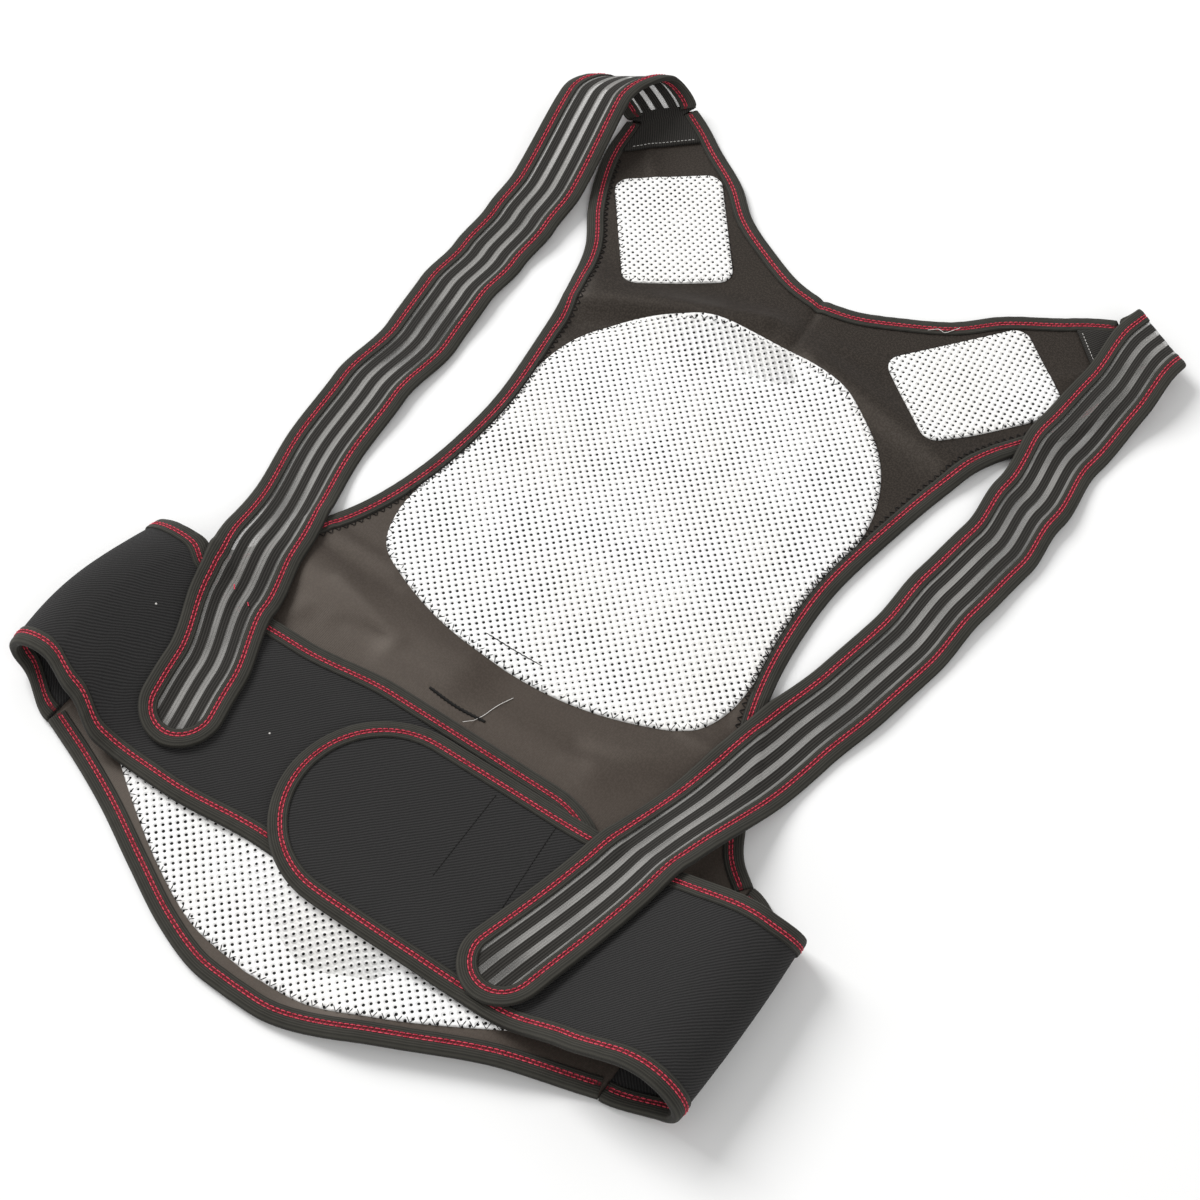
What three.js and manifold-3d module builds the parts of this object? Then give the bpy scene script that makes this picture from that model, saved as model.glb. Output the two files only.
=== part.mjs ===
// A posture brace lying open on a flat surface, with its inner face up, in millimetres.
// X runs across the back, Y runs up the spine from the tail to the neck, Z points up.
// The back panel, its soft patches, two belt wings and two shoulder straps are sheets of
// cloth. Each one is a mesh of its middle surface, given a thickness, and most of their
// edges are wrapped in a folded tape. Left and right are the sides at -X and +X.

import * as THREE from 'three';
import { mergeVertices } from 'three/addons/utils/BufferGeometryUtils.js';
import Module from 'manifold-3d';

const wasm = await Module();
wasm.setup();

// Clearance between pieces that touch
const gap = 0.3;

// Thickness of the cloths, and the folded tape round their edges
const panelThickness = 3;
const wingThickness = 3;
const strapThickness = 1.6;
const patchThickness = 1;
const tapeThickness = 0.8;
const tapeWidth = 10;

// Back panel, measured from the middle of the belt
const neckHeight = 441;
const tailDrop = 132;
const beltHigh = 73;
const beltLow = 66;
const seamHalf = 186;
const underarmHalf = 121.5;
const armReach = 516;
const armSpread = 176;
const armHeading = 44;
const waistRowHeight = 85;
const neckRowShare = 0.56;
const welt = 3.2;

// Patches of spacer mesh
const ovalWidth = 236;
const ovalHeight = 290;
const ovalFoot = 104;
const shoulderPatchLength = 94;
const shoulderPatchWidth = 71;
const shoulderPatchRadius = 10;
const shoulderPatchSetback = 102;
const shoulderPatchHeading = 38.5;
const lumbarHalf = 152;
const lumbarTop = 34;
const lumbarDrop = 117;

// Belt wings
const wingHeight = 116;
const wingTipLength = 58;
const leftFold = { reach: 229, height: 30, tip: 128, slant: 0.03, bulge: 14, lean: -0.004 };
const rightFold = { reach: 228, height: 38, tip: 54, slant: 0, bulge: 4, lean: -0.0015 };

// Shoulder straps
const strapWidth = 47;
const strapTipLength = 24;
const strapTabLength = 27;
const shoulderFoldAngle = 27;
const shoulderFoldReach = 196;
const shoulderFoldHeight = 526;
const loopReach = 140;
const loopStations = 12;
const strapStations = 15;
const leftLoop = { height: 36, lean: -0.005, length: 618 };
const rightLoop = { height: 19, lean: 0, length: 630 };

// Rows of a strap's bare tab, as shares of its length back from the seam
const tabShares = [1, 0.5, 0.06];

const finishes = {
  panel: { color: 0x3c3834, roughness: 0.85 },
  wing: { color: 0x232324, roughness: 0.95 },
  strap: { color: 0x302e2b, roughness: 0.8 },
  tape: { color: 0x3e3c36, roughness: 0.8 },
  mesh: { color: 0xf2f1ee, roughness: 0.9 },
};

// Steepest way down of a cloth that hangs over an edge, as rise over run
const drapeSlope = 0.4;

// Rows, columns and points of the meshes
const panelColumns = 8;
const beltRows = 7;
const spineRows = 13;
const armRows = 8;
const wingStations = 21;
const wingColumns = 6;
const strapColumns = 3;
const tipTurns = 10;
const foldSamples = 240;
const ovalPoints = 44;
const lumbarPoints = 10;
const cornerSteps = 4;
const edgeSamples = { tail: 16, underarm: 40, neck: 16 };
const weldDistance = 1e-5;

// Grid of heights under the loose cloth: size of a cell, cells in a column, how far past a
// face its cells still count, and how far and how closely a hanging cloth is felt, in cells
const cellSize = 3;
const cellsInColumn = 4096;
const cellOverlap = 0.1;
const drapeCells = 20;
const drapeStep = 2;

// Settling of the loose cloth: samples along a face, rounds, and how low is still clear
const faceSamples = 5;
const settleRounds = 40;
const settleSlack = 0.02;
const wingBridges = 3;
const strapBridges = 2;

// Half thickness of a sheet together with the tape wrapped round it
const wrapped = (thickness) => thickness / 2 + gap + tapeThickness;

// Outer edge of the panel from the belt seam to the arm tip: up as a share of armReach,
// flare as a share of the way from the underarm half width to the seam half width
const underarmTable = [
  { up: 0.165, flare: 0.78 },
  { up: 0.227, flare: 0.52 },
  { up: 0.296, flare: 0.24 },
  { up: 0.365, flare: 0.085 },
  { up: 0.446, flare: 0.008 },
  { up: 0.504, flare: 0.008 },
  { up: 0.587, flare: 0.1 },
  { up: 0.688, flare: 0.256 },
  { up: 0.76, flare: 0.44 },
  { up: 0.815, flare: 0.72 },
  { up: 0.869, flare: 0.93 },
  { up: 0.915, flare: 1.05 },
];

// Neck edge from the spine to the arm tip: shares of the tip corner's X and of the rise
const neckTable = [
  { out: 0, up: 0 },
  { out: 0.136, up: 0.045 },
  { out: 0.296, up: 0.17 },
  { out: 0.475, up: 0.35 },
  { out: 0.617, up: 0.585 },
  { out: 0.796, up: 0.79 },
  { out: 0.9, up: 0.915 },
  { out: 1, up: 1 },
];

// Tail edge from the spine to the belt seam: shares of seamHalf and of the rise
const tailTable = [
  { out: 0, up: 0 },
  { out: 0.134, up: 0.02 },
  { out: 0.296, up: 0.158 },
  { out: 0.484, up: 0.4 },
  { out: 0.672, up: 0.655 },
  { out: 0.833, up: 0.838 },
  { out: 1, up: 1 },
];

// Right half of the oval patch: up as a share of its height, out of its half width
const ovalTable = [
  { up: 0.01, out: 0.28 },
  { up: 0.052, out: 0.68 },
  { up: 0.103, out: 0.915 },
  { up: 0.18, out: 0.995 },
  { up: 0.3, out: 1 },
  { up: 0.57, out: 0.985 },
  { up: 0.71, out: 0.965 },
  { up: 0.8, out: 0.89 },
  { up: 0.87, out: 0.775 },
  { up: 0.93, out: 0.6 },
  { up: 0.98, out: 0.355 },
];

// Right half of the lumbar patch: shares of its half width and of its drop
const lumbarTable = [
  { out: 0, down: 1 },
  { out: 0.26, down: 0.965 },
  { out: 0.5, down: 0.84 },
  { out: 0.75, down: 0.66 },
  { out: 1, down: 0.45 },
];

// Soft welts of the panel round the oval patch: both ends as shares of seamHalf and
// neckHeight, width as a share of tapeWidth, rise as a share of the welt height
const weltTable = [
  { x0: -0.66, y0: 0.835, x1: -0.05, y1: 0.914, width: 1.4, rise: 1 },
  { x0: 0.09, y0: 0.9, x1: 0.72, y1: 0.862, width: 1.5, rise: 1.1 },
  { x0: -0.77, y0: 0.221, x1: -0.12, y1: 0.21, width: 1.7, rise: 1.2 },
  { x0: 0.42, y0: 0.194, x1: 0.66, y1: 0.29, width: 1.4, rise: 0.9 },
  { x0: -0.45, y0: 0.55, x1: 0.4, y1: 0.42, width: 3, rise: 0.6 },
  { x0: 0.4, y0: -0.235, x1: 0.68, y1: -0.18, width: 3.4, rise: 2.6 },
];

// Section of a fold in the cloth: reach from its outermost line and rise above the flat
// cloth, as shares of the fold's height
const foldTable = [
  { reach: -1.7, rise: 0 },
  { reach: -0.85, rise: 0.02 },
  { reach: -0.4, rise: 0.08 },
  { reach: -0.12, rise: 0.24 },
  { reach: 0, rise: 0.52 },
  { reach: -0.14, rise: 0.82 },
  { reach: -0.48, rise: 0.98 },
  { reach: -0.9, rise: 0.96 },
  { reach: -1.5, rise: 0.74 },
  { reach: -2.2, rise: 0.42 },
  { reach: -3, rise: 0.17 },
  { reach: -3.8, rise: 0.04 },
  { reach: -4.6, rise: 0 },
];

// Belt wings along their length: shift of the middle line and height of the band, as
// shares of wingHeight
const leftWingTable = [
  { along: 0, middle: 0.03, height: 1.2 },
  { along: 0.09, middle: 0.07, height: 1 },
  { along: 0.19, middle: 0.08, height: 0.98 },
  { along: 0.25, middle: 0.02, height: 0.98 },
  { along: 0.32, middle: -0.05, height: 1.01 },
  { along: 0.45, middle: -0.045, height: 1.02 },
  { along: 0.6, middle: 0.005, height: 1.03 },
  { along: 1, middle: 0.005, height: 1.03 },
];
const rightWingTable = [
  { along: 0, middle: 0.03, height: 1.2 },
  { along: 0.1, middle: 0.005, height: 1.02 },
  { along: 0.22, middle: -0.02, height: 0.95 },
  { along: 0.36, middle: -0.055, height: 0.98 },
  { along: 0.52, middle: -0.09, height: 1.01 },
  { along: 1, middle: -0.1, height: 1 },
];

// Straps along their length: sideways shift as a share of strapWidth, and the lift of
// their ripples as a share of strapThickness
const leftStrapTable = [
  { along: 0, shift: 0, lift: 0 },
  { along: 0.05, shift: -0.2, lift: 0 },
  { along: 0.12, shift: -0.49, lift: 0 },
  { along: 0.24, shift: -0.49, lift: 0 },
  { along: 0.295, shift: -0.56, lift: 3 },
  { along: 0.35, shift: -0.68, lift: 0 },
  { along: 0.41, shift: -0.79, lift: 3.2 },
  { along: 0.475, shift: -0.83, lift: 0 },
  { along: 0.56, shift: -1.02, lift: 2.4 },
  { along: 0.64, shift: -1.09, lift: 0 },
  { along: 0.77, shift: -0.91, lift: 0 },
  { along: 0.84, shift: -0.79, lift: 2 },
  { along: 0.92, shift: -0.6, lift: 0 },
  { along: 1, shift: -0.54, lift: 0 },
];
const rightStrapTable = [
  { along: 0, shift: 0, lift: 0 },
  { along: 0.06, shift: -0.04, lift: 0 },
  { along: 0.135, shift: 0.06, lift: 0 },
  { along: 0.21, shift: 0.13, lift: 0 },
  { along: 0.29, shift: 0.36, lift: 3 },
  { along: 0.35, shift: 0.51, lift: 0.6 },
  { along: 0.42, shift: 0.55, lift: 2.6 },
  { along: 0.49, shift: 0.64, lift: 0 },
  { along: 0.56, shift: 0.64, lift: 1.6 },
  { along: 0.63, shift: 0.58, lift: 0 },
  { along: 0.73, shift: 0.57, lift: 1 },
  { along: 0.83, shift: 0.49, lift: 0 },
  { along: 1, shift: 0.36, lift: 0 },
];

const radians = THREE.MathUtils.degToRad;
const mix = THREE.MathUtils.lerp;
const point = (x, y, z = 0) => new THREE.Vector3(x, y, z);
const curveThrough = (points) => new THREE.CatmullRomCurve3(points, false, 'centripetal');

// A table's column between its rows, eased so that it has no corners
function column(table, key, along) {
  const next = table.findIndex((row) => row.along >= along);
  if (next === 0) return table[0][key];
  if (next < 0) return table[table.length - 1][key];
  const a = table[next - 1];
  const b = table[next];
  const share = (along - a.along) / (b.along - a.along);
  return mix(a[key], b[key], THREE.MathUtils.smoothstep(share, 0, 1));
}

// The point of a plan curve at a share of its length, moved towards its left by an inset
function insetPoint(curve, share, inset) {
  const place = curve.getPointAt(share);
  const along = curve.getTangentAt(share);
  return point(place.x - along.y * inset, place.y + along.x * inset);
}

// A sheet is a mesh of triangles through the middle of a cloth
class Sheet {
  constructor() {
    this.points = [];
    this.faces = [];
  }

  add(place) {
    this.points.push(place);
    return this.points.length - 1;
  }

  quad(a, b, c, d) {
    this.faces.push([a, b, c], [a, c, d]);
  }

  // Joins two rows of vertices that run the same way, the second one above the first
  band(lower, upper) {
    for (let k = 0; k + 1 < lower.length; k += 1) {
      this.quad(lower[k], lower[k + 1], upper[k + 1], upper[k]);
    }
  }

  normals() {
    const sums = this.points.map(() => point(0, 0, 0));
    for (const [i, j, k] of this.faces) {
      const edge = this.points[j].clone().sub(this.points[i]);
      const other = this.points[k].clone().sub(this.points[i]);
      const area = edge.cross(other);
      for (const corner of [i, j, k]) sums[corner].add(area);
    }
    return sums.map((sum) => sum.normalize());
  }
}

function geometryFrom(points, faces) {
  const geometry = new THREE.BufferGeometry();
  const numbers = points.flatMap((place) => [place.x, place.y, place.z]);
  geometry.setAttribute('position', new THREE.Float32BufferAttribute(numbers, 3));
  geometry.setIndex(faces.flat());
  return geometry;
}

// The closed body between two distances from the middle surface of a sheet
function slab(sheet, low, high) {
  const normals = sheet.normals();
  const count = sheet.points.length;
  const shifted = (distance) => sheet.points.map(
    (place, i) => place.clone().addScaledVector(normals[i], distance),
  );
  const faces = [];
  const edges = new Set();
  for (const [i, j, k] of sheet.faces) {
    faces.push([i + count, j + count, k + count], [k, j, i]);
    for (const [from, to] of [[i, j], [j, k], [k, i]]) edges.add(`${from} ${to}`);
  }
  for (const edge of edges) {
    const [from, to] = edge.split(' ').map(Number);
    if (!edges.has(`${to} ${from}`)) {
      faces.push([from, to, to + count], [from, to + count, from + count]);
    }
  }
  return geometryFrom([...shifted(low), ...shifted(high)], faces);
}

// The folded tape over a sheet's edge. Each station of the chain has a vertex on the edge
// and one tape width inside it; both ends stop short by a trim. The chain runs so that the
// sheet's quads are split from an inner vertex to the next one on the edge, as these are.
function edgeTape(sheet, chain, thickness, trim) {
  const normals = sheet.normals();
  const inside = thickness / 2 + gap;
  const outside = inside + tapeThickness;
  const sections = chain.map(([edge, inner], station) => {
    const rim = sheet.points[edge];
    const seam = sheet.points[inner];
    const before = sheet.points[chain[Math.max(0, station - 1)][0]];
    const after = sheet.points[chain[Math.min(chain.length - 1, station + 1)][0]];
    const out = after.clone().sub(before).cross(normals[edge]).normalize();
    if (out.dot(rim.clone().sub(seam)) < 0) out.negate();
    const near = rim.clone().addScaledVector(out, gap);
    const far = rim.clone().addScaledVector(out, gap + tapeThickness);
    const at = (base, vertex, height) => base.clone().addScaledVector(normals[vertex], height);
    return [
      at(seam, inner, inside), at(seam, inner, outside),
      at(far, edge, outside), at(far, edge, -outside),
      at(seam, inner, -outside), at(seam, inner, -inside),
      at(near, edge, -inside), at(near, edge, inside),
    ];
  });
  const shorten = (end, next) => {
    const length = end[2].distanceTo(next[2]);
    end.forEach((place, i) => place.lerp(next[i], trim / length));
  };
  shorten(sections[0], sections[1]);
  shorten(sections[sections.length - 1], sections[sections.length - 2]);
  const size = sections[0].length;
  const faces = [];
  for (let s = 0; s + 1 < sections.length; s += 1) {
    for (let i = 0; i < size; i += 1) {
      const a = s * size + i;
      const b = s * size + (i + 1) % size;
      if (i === size - 1) faces.push([a, b, a + size], [b, b + size, a + size]);
      else faces.push([a, b, b + size], [a, b + size, a + size]);
    }
  }
  const cap = [[0, 1, 2], [0, 2, 7], [7, 2, 3], [7, 3, 6], [6, 3, 4], [6, 4, 5]];
  const last = (sections.length - 1) * size;
  for (const [a, b, c] of cap) {
    faces.push([c, b, a], [a + last, b + last, c + last]);
  }
  return outward(sections.flat(), faces);
}

// Turns the faces over if they point into the body
function outward(points, faces) {
  let volume = 0;
  for (const [a, b, c] of faces) {
    volume += points[a].dot(points[b].clone().cross(points[c]));
  }
  if (volume > 0) return geometryFrom(points, faces);
  return geometryFrom(points, faces.map(([a, b, c]) => [a, c, b]));
}

// Heights of what already lies on the surface, on a grid of small cells
class Relief {
  constructor() {
    this.tops = new Map();
  }

  add(geometry) {
    const places = geometry.getAttribute('position');
    const index = geometry.getIndex();
    const corners = [point(0, 0), point(0, 0), point(0, 0)];
    for (let f = 0; f < index.count; f += 3) {
      corners.forEach((corner, i) => corner.fromBufferAttribute(places, index.getX(f + i)));
      this.cover(corners);
    }
  }

  cover([a, b, c]) {
    const area = (b.x - a.x) * (c.y - a.y) - (c.x - a.x) * (b.y - a.y);
    if (area <= 0) return;
    const span = (values) => [Math.min(...values), Math.max(...values)]
      .map((value) => Math.round(value / cellSize));
    const [i0, i1] = span([a.x, b.x, c.x]);
    const [j0, j1] = span([a.y, b.y, c.y]);
    for (let i = i0; i <= i1; i += 1) {
      for (let j = j0; j <= j1; j += 1) {
        const x = i * cellSize;
        const y = j * cellSize;
        const u = ((x - a.x) * (c.y - a.y) - (c.x - a.x) * (y - a.y)) / area;
        const v = ((b.x - a.x) * (y - a.y) - (x - a.x) * (b.y - a.y)) / area;
        const inside = u > -cellOverlap && v > -cellOverlap && u + v < 1 + cellOverlap;
        const z = a.z + u * (b.z - a.z) + v * (c.z - a.z);
        if (inside) this.tops.set(this.key(i, j), Math.max(z, this.at(i, j)));
      }
    }
  }

  key(i, j) {
    return i * cellsInColumn + j;
  }

  // The height of a cell, with the bare surface at zero
  at(i, j) {
    return this.tops.get(this.key(i, j)) ?? 0;
  }

  // The highest of the cells round a place
  top(x, y) {
    const i = Math.round(x / cellSize);
    const j = Math.round(y / cellSize);
    let highest = 0;
    for (const di of [-1, 0, 1]) {
      for (const dj of [-1, 0, 1]) highest = Math.max(highest, this.at(i + di, j + dj));
    }
    return highest;
  }

  // The height at which cloth hangs over a place, as it slopes down from what is near
  drape(x, y) {
    let highest = this.top(x, y);
    for (let di = -drapeCells; di <= drapeCells; di += drapeStep) {
      for (let dj = -drapeCells; dj <= drapeCells; dj += drapeStep) {
        const far = Math.hypot(di, dj) * cellSize;
        const near = this.top(x + di * cellSize, y + dj * cellSize);
        highest = Math.max(highest, near - far * drapeSlope);
      }
    }
    return highest;
  }
}

// Lifts a sheet off what lies under it until it is clear everywhere: first its vertices,
// then each face that is still too low somewhere, its nearest corner most
function settle(sheet, relief, clearance, firstVertex) {
  const loose = sheet.faces.filter((face) => face.every((i) => i >= firstVertex));
  const samples = [];
  for (let u = 0; u <= faceSamples; u += 1) {
    for (let v = 0; u + v <= faceSamples; v += 1) {
      const shares = [u, v, faceSamples - u - v].map((part) => part / faceSamples);
      const weight = shares.reduce((sum, share) => sum + share * share, 0);
      samples.push({ shares, weight });
    }
  }
  for (const place of sheet.points.slice(firstVertex)) {
    place.z = Math.max(place.z, relief.drape(place.x, place.y) + clearance);
  }
  for (let round = 0; round < settleRounds; round += 1) {
    let worst = 0;
    for (const face of loose) {
      const corners = face.map((i) => sheet.points[i]);
      for (const { shares, weight } of samples) {
        const at = point(0, 0);
        corners.forEach((corner, i) => at.addScaledVector(corner, shares[i]));
        const short = relief.top(at.x, at.y) + clearance - at.z;
        worst = Math.max(worst, short);
        if (short > 0) corners.forEach((corner, i) => { corner.z += short * shares[i] / weight; });
      }
    }
    if (worst < settleSlack) return;
  }
}

// Fills the hollows between a sheet's high places, as stiff cloth bridges them
function bridge(sheet, firstVertex, rounds) {
  for (let round = 0; round < rounds; round += 1) {
    const sums = sheet.points.map(() => ({ height: 0, count: 0 }));
    for (const face of sheet.faces) {
      for (const i of face) {
        for (const j of face) {
          sums[i].height += sheet.points[j].z;
          sums[i].count += 1;
        }
      }
    }
    sheet.points.forEach((place, i) => {
      if (i >= firstVertex) place.z = Math.max(place.z, sums[i].height / sums[i].count);
    });
  }
}

// The section of a fold as a function of the length along the cloth, from a start before
// the fold to an end beyond it, both measured from its outermost line. The apex is the
// length at which the cloth is highest.
function foldProfile(height, startReach, endReach) {
  const rows = foldTable.map((row) => point(row.reach * height, row.rise * height));
  rows[0].x = -Math.max(startReach, height);
  const curve = curveThrough(rows);
  const samples = curve.getSpacedPoints(foldSamples);
  const step = curve.getLength() / foldSamples;
  const start = samples[0];
  const end = samples[foldSamples];
  const highest = samples.reduce((best, place, i) => (place.y > samples[best].y ? i : best), 0);
  return {
    length: curve.getLength() + end.x + endReach,
    apex: highest * step,
    at(length) {
      const place = length / step;
      const i = Math.floor(place);
      if (i < 0) return { reach: start.x + length, rise: start.y };
      if (i >= foldSamples) return { reach: end.x - (length - foldSamples * step), rise: end.y };
      const between = samples[i].clone().lerp(samples[i + 1], place - i);
      return { reach: between.x, rise: between.y };
    },
  };
}

// A long band with a round end. The rows give its two edges in the flat cloth, the lay
// function brings a flat place to where it lies. Returns the sheet and its taped edge.
function ribbon({ rows, tipLength, innerColumns, lay }) {
  const sheet = new Sheet();
  const acrossRow = (from, to) => Array.from({ length: innerColumns }, (_, k) => {
    const share = k / (innerColumns - 1);
    return [mix(from[0], to[0], share), mix(from[1], to[1], share)];
  });
  const place = ([along, across]) => sheet.add(lay(along, across));
  const lowEdge = [];
  const highEdge = [];
  const inner = [];
  for (const row of rows) {
    const low = row.middle - row.half;
    const high = row.middle + row.half;
    if (!row.bare) lowEdge.push(place([row.along, low]));
    inner.push(
      acrossRow([row.along, low + tapeWidth], [row.along, high - tapeWidth]).map(place),
    );
    if (!row.bare) highEdge.push(place([row.along, high]));
  }
  const last = rows[rows.length - 1];
  const onArc = (turn, inset) => {
    const angle = Math.PI * turn / tipTurns;
    const along = last.along + (tipLength - inset) * Math.sin(angle);
    return [along, last.middle - (last.half - inset) * Math.cos(angle)];
  };
  for (let turn = 1; turn < tipTurns / 2; turn += 1) {
    const from = onArc(turn, tapeWidth);
    const to = onArc(tipTurns - turn, tapeWidth);
    inner.push(acrossRow(from, to).map(place));
  }
  const nose = place(onArc(tipTurns / 2, tapeWidth));
  const tipEdge = [];
  for (let turn = 1; turn < tipTurns; turn += 1) tipEdge.push(place(onArc(turn, 0)));
  for (let r = 0; r + 1 < inner.length; r += 1) sheet.band(inner[r + 1], inner[r]);
  const end = inner[inner.length - 1];
  for (let k = 0; k + 1 < end.length; k += 1) sheet.faces.push([end[k + 1], end[k], nose]);
  const full = inner.slice(inner.length - lowEdge.length - tipTurns / 2 + 1);
  const lowInner = full.map((line) => line[0]);
  const highInner = full.map((line) => line[line.length - 1]);
  const edge = [...lowEdge, ...tipEdge, ...highEdge.reverse()];
  const lining = [...lowInner, nose, ...highInner.reverse()];
  for (let k = 0; k + 1 < edge.length; k += 1) {
    sheet.quad(lining[k], edge[k], edge[k + 1], lining[k + 1]);
  }
  return { sheet, chain: edge.map((vertex, i) => [vertex, lining[i]]) };
}

// The welts of the panel at a place, in millimetres above its flat parts
function weltHeight(x, y) {
  return weltTable.reduce((sum, row) => {
    const from = point(row.x0 * seamHalf, row.y0 * neckHeight);
    const to = point(row.x1 * seamHalf, row.y1 * neckHeight);
    const line = new THREE.Line3(from, to);
    const nearest = line.closestPointToPoint(point(x, y), true, point(0, 0));
    const distance = nearest.distanceTo(point(x, y)) / (row.width * tapeWidth);
    return sum + welt * row.rise * Math.exp(-distance * distance);
  }, 0);
}

// The arm tip's seam: its middle, its two corners and the way the arm points
function armTip(side) {
  const heading = radians(armHeading);
  const ahead = point(side * Math.sin(heading), Math.cos(heading));
  const across = point(-side * ahead.y, side * ahead.x);
  const middle = point(side * armSpread, armReach);
  const inner = middle.clone().addScaledVector(across, strapWidth / 2);
  const outer = middle.clone().addScaledVector(across, -strapWidth / 2);
  return { ahead, middle, inner, outer };
}

function panelEdges() {
  const tip = armTip(1);
  const underarm = curveThrough([
    point(seamHalf, beltHigh),
    ...underarmTable.map((row) => point(
      mix(underarmHalf, seamHalf, row.flare),
      row.up * armReach,
    )),
    tip.outer,
  ]);
  const neck = curveThrough(neckTable.map((row) => point(
    row.out * tip.inner.x,
    mix(neckHeight, tip.inner.y, row.up),
  )));
  const tail = curveThrough(tailTable.map((row) => point(
    row.out * seamHalf,
    mix(-tailDrop, -beltLow, row.up),
  )));
  return { underarm, neck, tail };
}

// The panel's rows on the right side, from the tail to the arm tip. Each row runs from the
// spine or the neck edge to the belt seam or the underarm edge.
function panelRows() {
  const { underarm, neck, tail } = panelEdges();
  const columns = panelColumns;
  const rowBetween = (edges) => {
    const [start, second, beforeLast, end] = edges;
    const line = [start];
    for (let k = 1; k < columns; k += 1) {
      line.push(second.clone().lerp(beforeLast, (k - 1) / (columns - 2)));
    }
    return [...line, end];
  };
  const share = (k) => {
    const hem = tapeWidth / tail.getLength();
    if (k === 0 || k === columns) return k / columns;
    return mix(hem, 1 - hem, (k - 1) / (columns - 2));
  };
  const shares = Array.from({ length: columns + 1 }, (_, k) => share(k));
  const tailRow = shares.map((at) => insetPoint(tail, at, 0));
  const hemRow = shares.map((at) => insetPoint(tail, at, tapeWidth));
  hemRow[0].x = 0;
  hemRow[columns].set(seamHalf, tapeWidth - beltLow, 0);
  const waistRow = shares.map((at) => point(
    at * seamHalf,
    mix(waistRowHeight, beltHigh, at),
  ));
  const rows = [tailRow];
  for (let r = 0; r <= beltRows; r += 1) {
    rows.push(hemRow.map((low, k) => low.clone().lerp(waistRow[k], r / beltRows)));
  }
  const seamTop = rows.length - 1;
  for (let r = 1; r <= spineRows; r += 1) {
    const beforeNeck = mix(waistRowHeight, neckHeight - tapeWidth, r / (spineRows - 1));
    const height = r < spineRows ? beforeNeck : neckHeight;
    const at = neckRowShare * r / spineRows;
    const spine = point(0, height);
    const sideHem = insetPoint(underarm, at, tapeWidth);
    const beside = sideHem.clone().sub(spine).setLength(tapeWidth).add(spine);
    rows.push(rowBetween([spine, beside, sideHem, insetPoint(underarm, at, 0)]));
  }
  const neckRow = rows.length - 1;
  for (let r = 1; r <= armRows; r += 1) {
    const at = mix(neckRowShare, 1, r / armRows);
    const along = r / armRows;
    rows.push(rowBetween([
      insetPoint(neck, along, 0),
      insetPoint(neck, along, -tapeWidth),
      insetPoint(underarm, at, tapeWidth),
      insetPoint(underarm, at, 0),
    ]));
  }
  const tip = armTip(1);
  const shareIn = tapeWidth / strapWidth;
  rows[rows.length - 1] = rowBetween([
    tip.inner.clone(),
    tip.inner.clone().lerp(tip.outer, shareIn),
    tip.outer.clone().lerp(tip.inner, shareIn),
    tip.outer.clone(),
  ]);
  return { rows, seamTop, neckRow, columns };
}

function panelSheet() {
  const { rows, seamTop, neckRow, columns } = panelRows();
  const rest = wrapped(panelThickness);
  const sheet = new Sheet();
  const onPanel = (x, y) => sheet.add(point(x, y, rest + weltHeight(x, y)));
  const right = rows.map((row) => row.map((place) => onPanel(place.x, place.y)));
  const left = rows.map((row, r) => row.map((place, k) => {
    if (k === 0 && r <= neckRow) return right[r][0];
    return onPanel(-place.x, place.y);
  }));
  for (let r = 0; r + 1 < rows.length; r += 1) {
    sheet.band(right[r], right[r + 1]);
    sheet.band([...left[r]].reverse(), [...left[r + 1]].reverse());
  }
  const sideOf = (grid) => grid.slice(seamTop).map((row) => [row[columns], row[columns - 1]]);
  const neckOf = (grid) => grid.slice(neckRow + 1).map((row) => [row[0], row[1]]);
  const tailOf = (grid) => grid[0].map((vertex, k) => [vertex, grid[1][k]]);
  return {
    sheet,
    underarm: { left: sideOf(left).reverse(), right: sideOf(right) },
    neck: [
      ...neckOf(right).reverse(),
      [right[neckRow][0], right[neckRow - 1][0]],
      ...neckOf(left),
    ],
    tail: [...tailOf(right).reverse(), ...tailOf(left).slice(1)],
  };
}

// Solid bodies for cutting
function solidFrom(geometry) {
  const bare = geometry.clone();
  bare.deleteAttribute('normal');
  bare.deleteAttribute('uv');
  const merged = mergeVertices(bare, weldDistance);
  const body = new wasm.Mesh({
    numProp: 3,
    vertProperties: new Float32Array(merged.getAttribute('position').array),
    triVerts: new Uint32Array(merged.getIndex().array),
  });
  return new wasm.Manifold(body);
}

function geometryOf(solid) {
  const body = solid.getMesh();
  const geometry = new THREE.BufferGeometry();
  geometry.setAttribute('position', new THREE.BufferAttribute(body.vertProperties, 3));
  geometry.setIndex([...body.triVerts]);
  return geometry;
}

// An upright prism over a plan outline, tall enough to pass through the whole panel
function prism(outline) {
  const shape = new THREE.Shape(outline.map((place) => new THREE.Vector2(place.x, place.y)));
  const below = wrapped(panelThickness);
  const height = 2 * below + 4 * welt + 2 * patchThickness;
  const geometry = new THREE.ExtrudeGeometry(shape, { depth: height, bevelEnabled: false });
  geometry.translate(0, 0, -below / 2);
  return solidFrom(geometry);
}

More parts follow.
